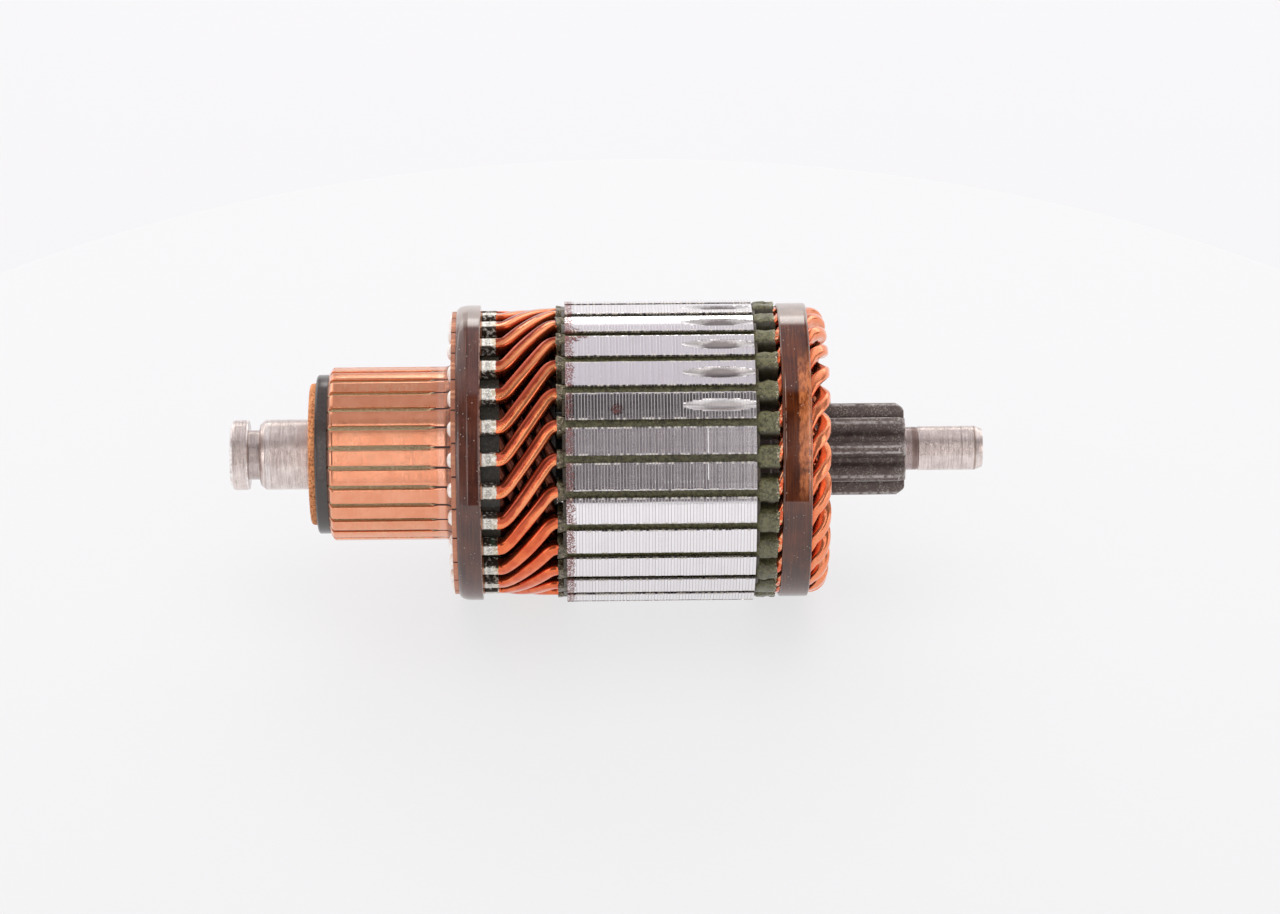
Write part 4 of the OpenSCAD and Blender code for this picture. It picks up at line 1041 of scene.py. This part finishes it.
def bar_parts():
    parts = []
    mica = 0.45
    tops = [(bars_x0, 19.35), (bars_x0 + 0.06, 19.5), (11.2, 20.1), (11.55, 20.62), (11.8, 20.9), (12.05, 20.985), (12.4, 21.0)]
    tops += [(x, 21.0) for x in np.linspace(13.6, 32.8, 14)]
    tops += [(33.4, 21), (34.2, 21), (34.9, 21), (35.4, 21), (35.8, 21.0), (37.2, 21.0), (38.6, 21.0), (39.2, 21.02), (39.55, 21.08), (39.85, 21.22), (40.15, 21.45), (40.4, 21.8), (40.62, 22.25), (40.74, 22.9), (40.8, 23.6), (40.8, 28), (40.8, 34.2), (40.88, 34.3),
             (42.5, 34.3), (bars_x1 - 0.06, 34.3), (bars_x1, 34.22)]
    for b in range(BARS):
        g = rnd(900 + b)
        phi = -90 + b * PITCH
        burr = waves(950 + b, 10, 5, 9.0)
        dr = g.normal(0, 0.006)
        rings = []
        for x, rt in tops:
            rt = rt + (dr if rt < 21.5 else 0)
            # bottom of the bar, with its dovetail
            rb = 17.4
            if 14 <= x <= 38.5:
                rb = 14.6 if 16 < x < 36.5 else 16.0
            if x > 40.6:
                rb = 18.2
            deep = x < 33.4
            fl = FLOOR_R if deep else (FLOOR_R + 4 - math.sqrt(max(0, 16 - (x - 33.4) ** 2)) if x < 37.4 else 99)
            cut = fl < rt - 0.01
            wall = 0.575 if cut else mica / 2

            def at(r, off):
                """The half angle where the bar's side is off millimetres from the middle of the mica."""
                return PITCH / 2 - math.degrees(math.asin(min(0.9, off / r)))

            jl, jr = 0.03 * burr(0, x * 2), 0.03 * burr(180, x * 2)
            low = min(fl, rt - 0.3) if cut else rt - 0.5
            col = [(rb, mica / 2), (low, mica / 2), (low, wall), (rt - 0.14, wall)]
            left = [(phi - at(r, o + (jl if o > 0.3 else 0)), r) for r, o in col]
            right = [(phi + at(r, o + (jr if o > 0.3 else 0)), r) for r, o in reversed(col)]
            span_l, span_r = at(rt, wall + 0.10 + jl), at(rt, wall + 0.10 + jr)
            top = [(phi - span_l - 0.18, rt - 0.04)] + [(phi + u, rt) for u in np.linspace(-span_l, span_r, 7)] + [(phi + span_r + 0.18, rt - 0.04)]
            pr = left + top + right
            rings.append(np.array([polar(x, a, r) for a, r in pr]))
        # closes the riser's back and the bar's underside
        parts.append(grid(rings, rid=np.full((len(rings), len(pr)), g.random())))
    return join(parts)


def bar_material():
    m = Mat("turned_copper")
    idx = m.math("FLOORED_MODULO", m.math("FLOOR", m.add(m.math("DIVIDE", m.add(m.phi, 90.0), PITCH), 0.5)), 27.0)
    rid = m.white(m.vec(idx, 0.0, 0.0))
    turned = m.noise(m.scaled(14.0, 0.12, 0.12), 1.0, 3, 0.6)
    fine = m.noise(m.scaled(46.0, 0.3, 0.3), 1.0, 2, 0.5)
    cloud = m.noise(m.p, 0.20, 4, 0.6)
    colour = m.mix(m.smooth(cloud, 0.3, 0.7), (0.90, 0.355, 0.195), (0.98, 0.44, 0.265))
    colour = m.mix(m.mul(rid, 0.28), colour, (0.78, 0.32, 0.21))
    colour = m.mix(m.mul(m.smooth(turned, 0.4, 0.75), 0.22), colour, (0.66, 0.25, 0.145))
    # painted dark reflection on the flare towards the risers
    flare = m.smooth(m.x, 38.6, 39.9)
    colour = m.mix(m.mul(flare, 0.55), colour, (0.34, 0.17, 0.13))
    end = m.smooth(m.x, 11.3, 12.0, 1.0, 0.0)
    colour = m.mix(m.mul(end, 0.3), colour, (0.93, 0.62, 0.47))
    spots = m.smooth(m.noise(m.p, 1.2, 3, 0.6), 0.68, 0.76)
    colour = m.mix(m.mul(spots, 0.35), colour, (0.40, 0.18, 0.12))
    low = m.smooth(m.r, 20.1, 20.75, 1.0, 0.0)
    floor_ = m.mul(low, m.smooth(m.x, 11.4, 12.2))
    colour = m.mix(m.mul(floor_, 0.9), colour, m.mix(m.smooth(m.noise(m.p, 3.0, 3, 0.7), 0.4, 0.6), (0.26, 0.19, 0.095), (0.56, 0.46, 0.27)))
    lip = m.mul(m.mul(m.around(m.r, 20.80, 20.97, 0.04), m.smooth(m.x, 12.2, 12.6)), m.mul(m.smooth(m.x, 33.0, 36.0, 1.0, 0.0), m.smooth(m.noise(m.scaled(2.4, 0.6, 0.6), 1.0, 2, 0.5), 0.46, 0.54)))
    colour = m.mix(m.mul(lip, 0.8), colour, (0.80, 0.66, 0.42))
    collar = m.mul(m.around(m.x, 39.3, 40.5, 0.25), m.smooth(m.noise(m.p, 0.8, 3, 0.6), 0.30, 0.55))
    colour = m.mix(m.mul(collar, 0.6), colour, (0.20, 0.12, 0.10))
    # painted highlight: a pinkish band just before the flare
    colour = m.mix(m.mul(m.around(m.x, 37.4, 38.9, 0.4), 0.5), colour, (0.95, 0.55, 0.42))
    rough = m.linear(turned, 0.3, 0.7, 0.12, 0.19)
    height = m.add(m.mul(turned, 0.6), m.mul(fine, 0.4))
    m.set(Base_Color=colour, Metallic=m.mixf(floor_, 0.92, 0.1), Roughness=m.mixf(flare, rough, 0.45), Normal=m.bump(height, 0.010))
    return m


MAT_BAR = bar_material()
piece("commutator", bar_parts(), MAT_BAR, ["commutator_bars"], sharp=34)


def weld_parts():
    parts = []
    for s in range(BARS):
        g = rnd(1200 + s)
        phi = -90 + s * PITCH
        hw, hz, h = g.uniform(1.65, 1.95), g.uniform(2.0, 2.5), g.uniform(0.85, 1.12)
        cw, cz = g.normal(0, 0.10), 31.25 + g.normal(0, 0.12)
        lump = waves(1300 + s, 6, 5, 2.0)
        rings = []
        t = np.arange(28) / 28 * 360
        for u in np.linspace(0, 90, 9)[:-1]:
            k = math.cos(math.radians(u)); d = math.sin(math.radians(u))
            q = 1 + 0.06 * lump(t, u / 30)
            rings.append(slot_frame(phi, 40.85 - h * d, cw + hw * k * q * np.cos(np.radians(t)), cz + hz * k * q * np.sin(np.radians(t))))
        parts.append(grid(rings))
    return join(parts)


def weld_material():
    m = Mat("weld_metal")
    n1 = m.noise(m.p, 1.5, 4, 0.6)
    colour = m.mix(m.smooth(n1, 0.3, 0.7), (0.90, 0.80, 0.73), (1.0, 0.96, 0.92))
    colour = m.mix(m.mul(m.smooth(m.noise(m.p, 0.8, 2), 0.58, 0.7), 0.4), colour, (0.55, 0.36, 0.26))
    m.set(Base_Color=colour, Metallic=0.35, Roughness=m.linear(n1, 0.3, 0.7, 0.30, 0.45), Normal=m.bump(n1, 0.10))
    return m


MAT_WELD = weld_material()
piece("welds", weld_parts(), MAT_WELD, ["riser_welds"], sharp=70)


def ring_shape(node_profile, r=0.1, step=0.8, n=256, wobble=None):
    prof = densify(soften(node_profile, r, 4, loop=True), step, loop=True)
    return lathe(prof, n, loop=True, wobble=wobble)


moulding = [(hub_x0, 10.8), (hub_x0, 18.9), (hub_x0 + 0.4, 19.3), (bars_x0, 19.3), (bars_x0, 17.4), (16.5, 17.4), (14, 14.6), (38.5, 14.6), (36, 17.4),
            (40.6, 17.4), (40.6, 18.2), (hub_x1 - 0.9, 18.2), (hub_x1, 17.6), (hub_x1, 10.8)]


def moulding_material():
    m = Mat("black_moulding")
    n1 = m.noise(m.p, 1.6, 4, 0.6)
    turned = m.noise(m.scaled(12.0, 0.2, 0.2), 1.0, 3, 0.6)
    colour = m.mix(m.smooth(n1, 0.35, 0.7), (0.018, 0.012, 0.011), (0.040, 0.027, 0.024))
    colour = m.mix(m.mul(m.smooth(m.noise(m.p, 3.0, 3, 0.6), 0.68, 0.76), 0.6), colour, (0.22, 0.16, 0.12))
    m.set(Base_Color=colour, Roughness=m.linear(turned, 0.3, 0.7, 0.12, 0.22), Specular_IOR_Level=0.95, Normal=m.bump(turned, 0.012))
    return m


MAT_MOULD = moulding_material()
piece("moulding", ring_shape(moulding, 0.12, 3.0), MAT_MOULD, ["commutator_moulding"])


def washer_material():
    m = Mat("coarse_fibre")
    grain = m.noise(m.p, 1.9, 5, 0.8)
    big = m.noise(m.p, 0.8, 3, 0.6)
    colour = m.mix(m.smooth(grain, 0.40, 0.58), (0.30, 0.075, 0.025), (0.92, 0.37, 0.15))
    colour = m.mix(m.mul(m.smooth(m.noise(m.p, 3.4, 3, 0.6), 0.56, 0.66), 0.8), colour, (1.0, 0.66, 0.36))
    colour = m.mix(m.mul(m.smooth(big, 0.55, 0.7), 0.3), colour, (0.22, 0.07, 0.03))
    m.set(Base_Color=colour, Roughness=0.62, Specular_IOR_Level=0.15, Normal=m.bump(grain, 0.3))
    return m


wn = waves(31, 30, 90, 3.0)
wn2 = waves(32, 12, 12, 0.5)
washer = [(washer_x0, 9.0), (washer_x0, 16.55), (washer_x0 + 0.25, 17.0), (washer_x0 + 0.75, 17.18), (hub_x0 - 0.15, 17.2), (hub_x0, 17.05), (hub_x0, 9.0)]
MAT_WASHER = washer_material()
piece("washer", ring_shape(washer, 0.15, 0.35, 360, lambda x, p, r: (0.03 * wn(p, r) * (r > 12), np.where(r > 16.4, 0.07 * wn(p, x * 3) + 0.05 * wn2(p, x), 0))), MAT_WASHER,
      ["fibre_washer"], sharp=60)


# ------------------------------------------------------------------ bindings
def band_material(name, dark, mid, warm, edge_x, split=None):
    m = Mat(name)
    wrap_ = m.noise(m.scaled(3.2, 0.10, 0.10), 1.0, 3, 0.6)
    strand = m.noise(m.scaled(16.0, 0.25, 0.25), 1.0, 2, 0.5)
    cloud = m.noise(m.p, 0.14, 4, 0.6)
    colour = m.mix(m.smooth(cloud, 0.32, 0.68), dark, mid)
    colour = m.mix(m.mul(m.smooth(wrap_, 0.45, 0.7), 0.5), colour, warm)
    if split:
        # the last turns are amber, shown only on the upper front of the band: partly their own colour, partly painted
        # light
        amber_and_painted_light = m.smooth(m.add(m.x, m.mul(m.sub(m.noise(m.p, 0.5, 4, 0.7), 0.5), 1.6)), split - 0.1, split + 0.5)
        amber_and_painted_light = m.mul(amber_and_painted_light, m.smooth(m.noise(m.p, 0.22, 3, 0.6), 0.28, 0.50))
        amber_and_painted_light = m.mul(amber_and_painted_light, m.mul(m.smooth(m.phi, 10.0, 22.0), m.smooth(m.phi, 60.0, 78.0, 1.0, 0.0)))
        honey = m.mix(m.smooth(m.noise(m.scaled(1.4, 0.5, 0.5), 1.0, 4, 0.7), 0.36, 0.62), (0.20, 0.050, 0.016), (0.56, 0.175, 0.058))
        colour = m.mix(m.mul(amber_and_painted_light, 0.9), colour, honey)
    # painted pale reflection along the upper back of the band
    pale_reflection_side = m.mul(m.smooth(m.phi, 88.0, 96.0), m.smooth(m.phi, 150.0, 175.0, 1.0, 0.0))
    colour = m.mix(m.mul(pale_reflection_side, m.linear(cloud, 0.3, 0.7, 0.45, 0.65)), colour, (0.46, 0.40, 0.36))
    specks = m.smooth(m.noise(m.p, 3.2, 3, 0.6), 0.69, 0.76)
    colour = m.mix(m.mul(specks, 0.75), colour, (0.50, 0.42, 0.36))
    bubble = m.cells(m.p, 0.95)
    pit = m.mul(m.smooth(bubble, 0.07, 0.15, 1.0, 0.0), m.smooth(m.noise(m.p, 0.35, 2), 0.45, 0.55))
    colour = m.mix(m.mul(pit, 0.55), colour, (0.72, 0.66, 0.58))
    edge = m.mul(m.smooth(m.x, edge_x - 0.35, edge_x - 0.1), m.smooth(m.noise(m.p, 1.3, 3, 0.6), 0.40, 0.6))
    colour = m.mix(m.mul(edge, 0.6), colour, (0.45, 0.28, 0.22))
    if split:
        # painted highlight: a thin pale line near the band's edge towards the core, on the upper front
        rim = m.mul(m.around(m.x, edge_x - 6.30, edge_x - 6.18, 0.05), m.around(m.phi, 30.0, 62.0, 3.0))
        rim = m.mul(rim, m.smooth(m.noise(m.scaled(0.4, 0.22, 0.22), 1.0, 3, 0.6), 0.40, 0.50))
        colour = m.mix(m.mul(rim, 0.55), colour, (0.66, 0.48, 0.38))
    height = m.add(m.add(m.mul(wrap_, 0.4), m.mul(m.noise(m.p, 0.7, 3), 0.6)), m.mul(pit, 0.35))
    height = m.add(height, m.mul(strand, 0.08))
    m.set(Base_Color=colour, Roughness=m.linear(cloud, 0.3, 0.7, 0.28, 0.42), Specular_IOR_Level=0.0, Coat_Weight=1.0, Coat_Roughness=0.03, Coat_IOR=1.72,
          Normal=m.bump(height, 0.045))
    return m


bw = waves(41, 14, 9, 0.1)
front_profile = [(band_x0, 34.35), (band_x0, 34.75), (42.25, 35.2), (42.8, 35.55), (43.6, 35.78), (44.6, band_r), (band_x1 - 0.2, band_r), (band_x1, band_r - 0.25), (band_x1, 34.35)]
MAT_FRONT = band_material("front_binding", (0.042, 0.012, 0.008), (0.090, 0.027, 0.017), (0.16, 0.050, 0.024), 47.75)
piece("front_binding", ring_shape(front_profile, 0.18, 0.5, 360, lambda x, p, r: (0 * x, np.where(r > 35, 0.05 * bw(p, x) - 0.05, 0))), MAT_FRONT, ["front_band"])
bw2 = waves(43, 14, 8, 0.1)
rear_profile = [(rear_x0, 35.0), (rear_x0, rear_r - 0.3), (rear_x0 + 0.35, rear_r), (rear_x1 - 0.3, rear_r), (rear_x1, rear_r - 0.25), (rear_x1, 35.0)]


def rear_material():
    m = band_material("rear_binding", (0.040, 0.008, 0.002), (0.085, 0.018, 0.005), (0.18, 0.048, 0.013), 126.2, 122.9)
    return m


MAT_REAR = rear_material()
piece("rear_binding", ring_shape(rear_profile, 0.12, 0.5, 360, lambda x, p, r: (0 * x, np.where(r > 35.3, 0.05 * bw2(p, x) - 0.05, 0))), MAT_REAR, ["rear_band"])

# ------------------------------------------------------------------ the CAD nodes that stay
MAT_STRIP = paper_material("layer_paper", (0.010, 0.009, 0.006), (0.040, 0.036, 0.022), (0.40, 0.36, 0.27))
MAT_BOARD = paper_material("end_board", (0.022, 0.015, 0.009), (0.070, 0.052, 0.028), (0.30, 0.25, 0.16))


def mica_material():
    m = Mat("mica")
    n1 = m.noise(m.scaled(3.0, 3.0, 3.0), 1.0, 4, 0.7)
    flake = m.noise(m.scaled(1.0, 9.0, 9.0), 1.0, 3, 0.6)
    colour = m.mix(m.smooth(n1, 0.35, 0.65), (0.25, 0.20, 0.10), (0.55, 0.46, 0.28))
    colour = m.mix(m.smooth(m.x, 35.6, 37.0), colour, (0.06, 0.03, 0.025))
    m.set(Base_Color=colour, Roughness=0.55, Normal=m.bump(m.add(m.mul(n1, 0.5), m.mul(flake, 0.5)), 0.15))
    return m


def sleeve_material():
    m = Mat("plain_steel")
    n1 = m.noise(m.scaled(8.0, 0.4, 0.4), 1.0, 3, 0.6)
    m.set(Base_Color=m.mix(n1, (0.42, 0.42, 0.43), (0.62, 0.61, 0.61)), Metallic=0.95, Roughness=m.linear(n1, 0.3, 0.7, 0.3, 0.45), Normal=m.bump(n1, 0.03))
    return m


MAT_MICA, MAT_SLEEVE = mica_material(), sleeve_material()
for node, mat in (("mica_segments", MAT_MICA), ("commutator_bush", MAT_SLEEVE), ("front_anchor_ring", MAT_SLEEVE), ("rear_anchor_ring", MAT_SLEEVE),
                  ("slot_separators", MAT_STRIP), ("front_layer_insulation", MAT_STRIP), ("rear_layer_insulation", MAT_STRIP),
                  ("front_end_disc", MAT_BOARD), ("rear_end_disc", MAT_BOARD)):
    dress(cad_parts[node], mat)
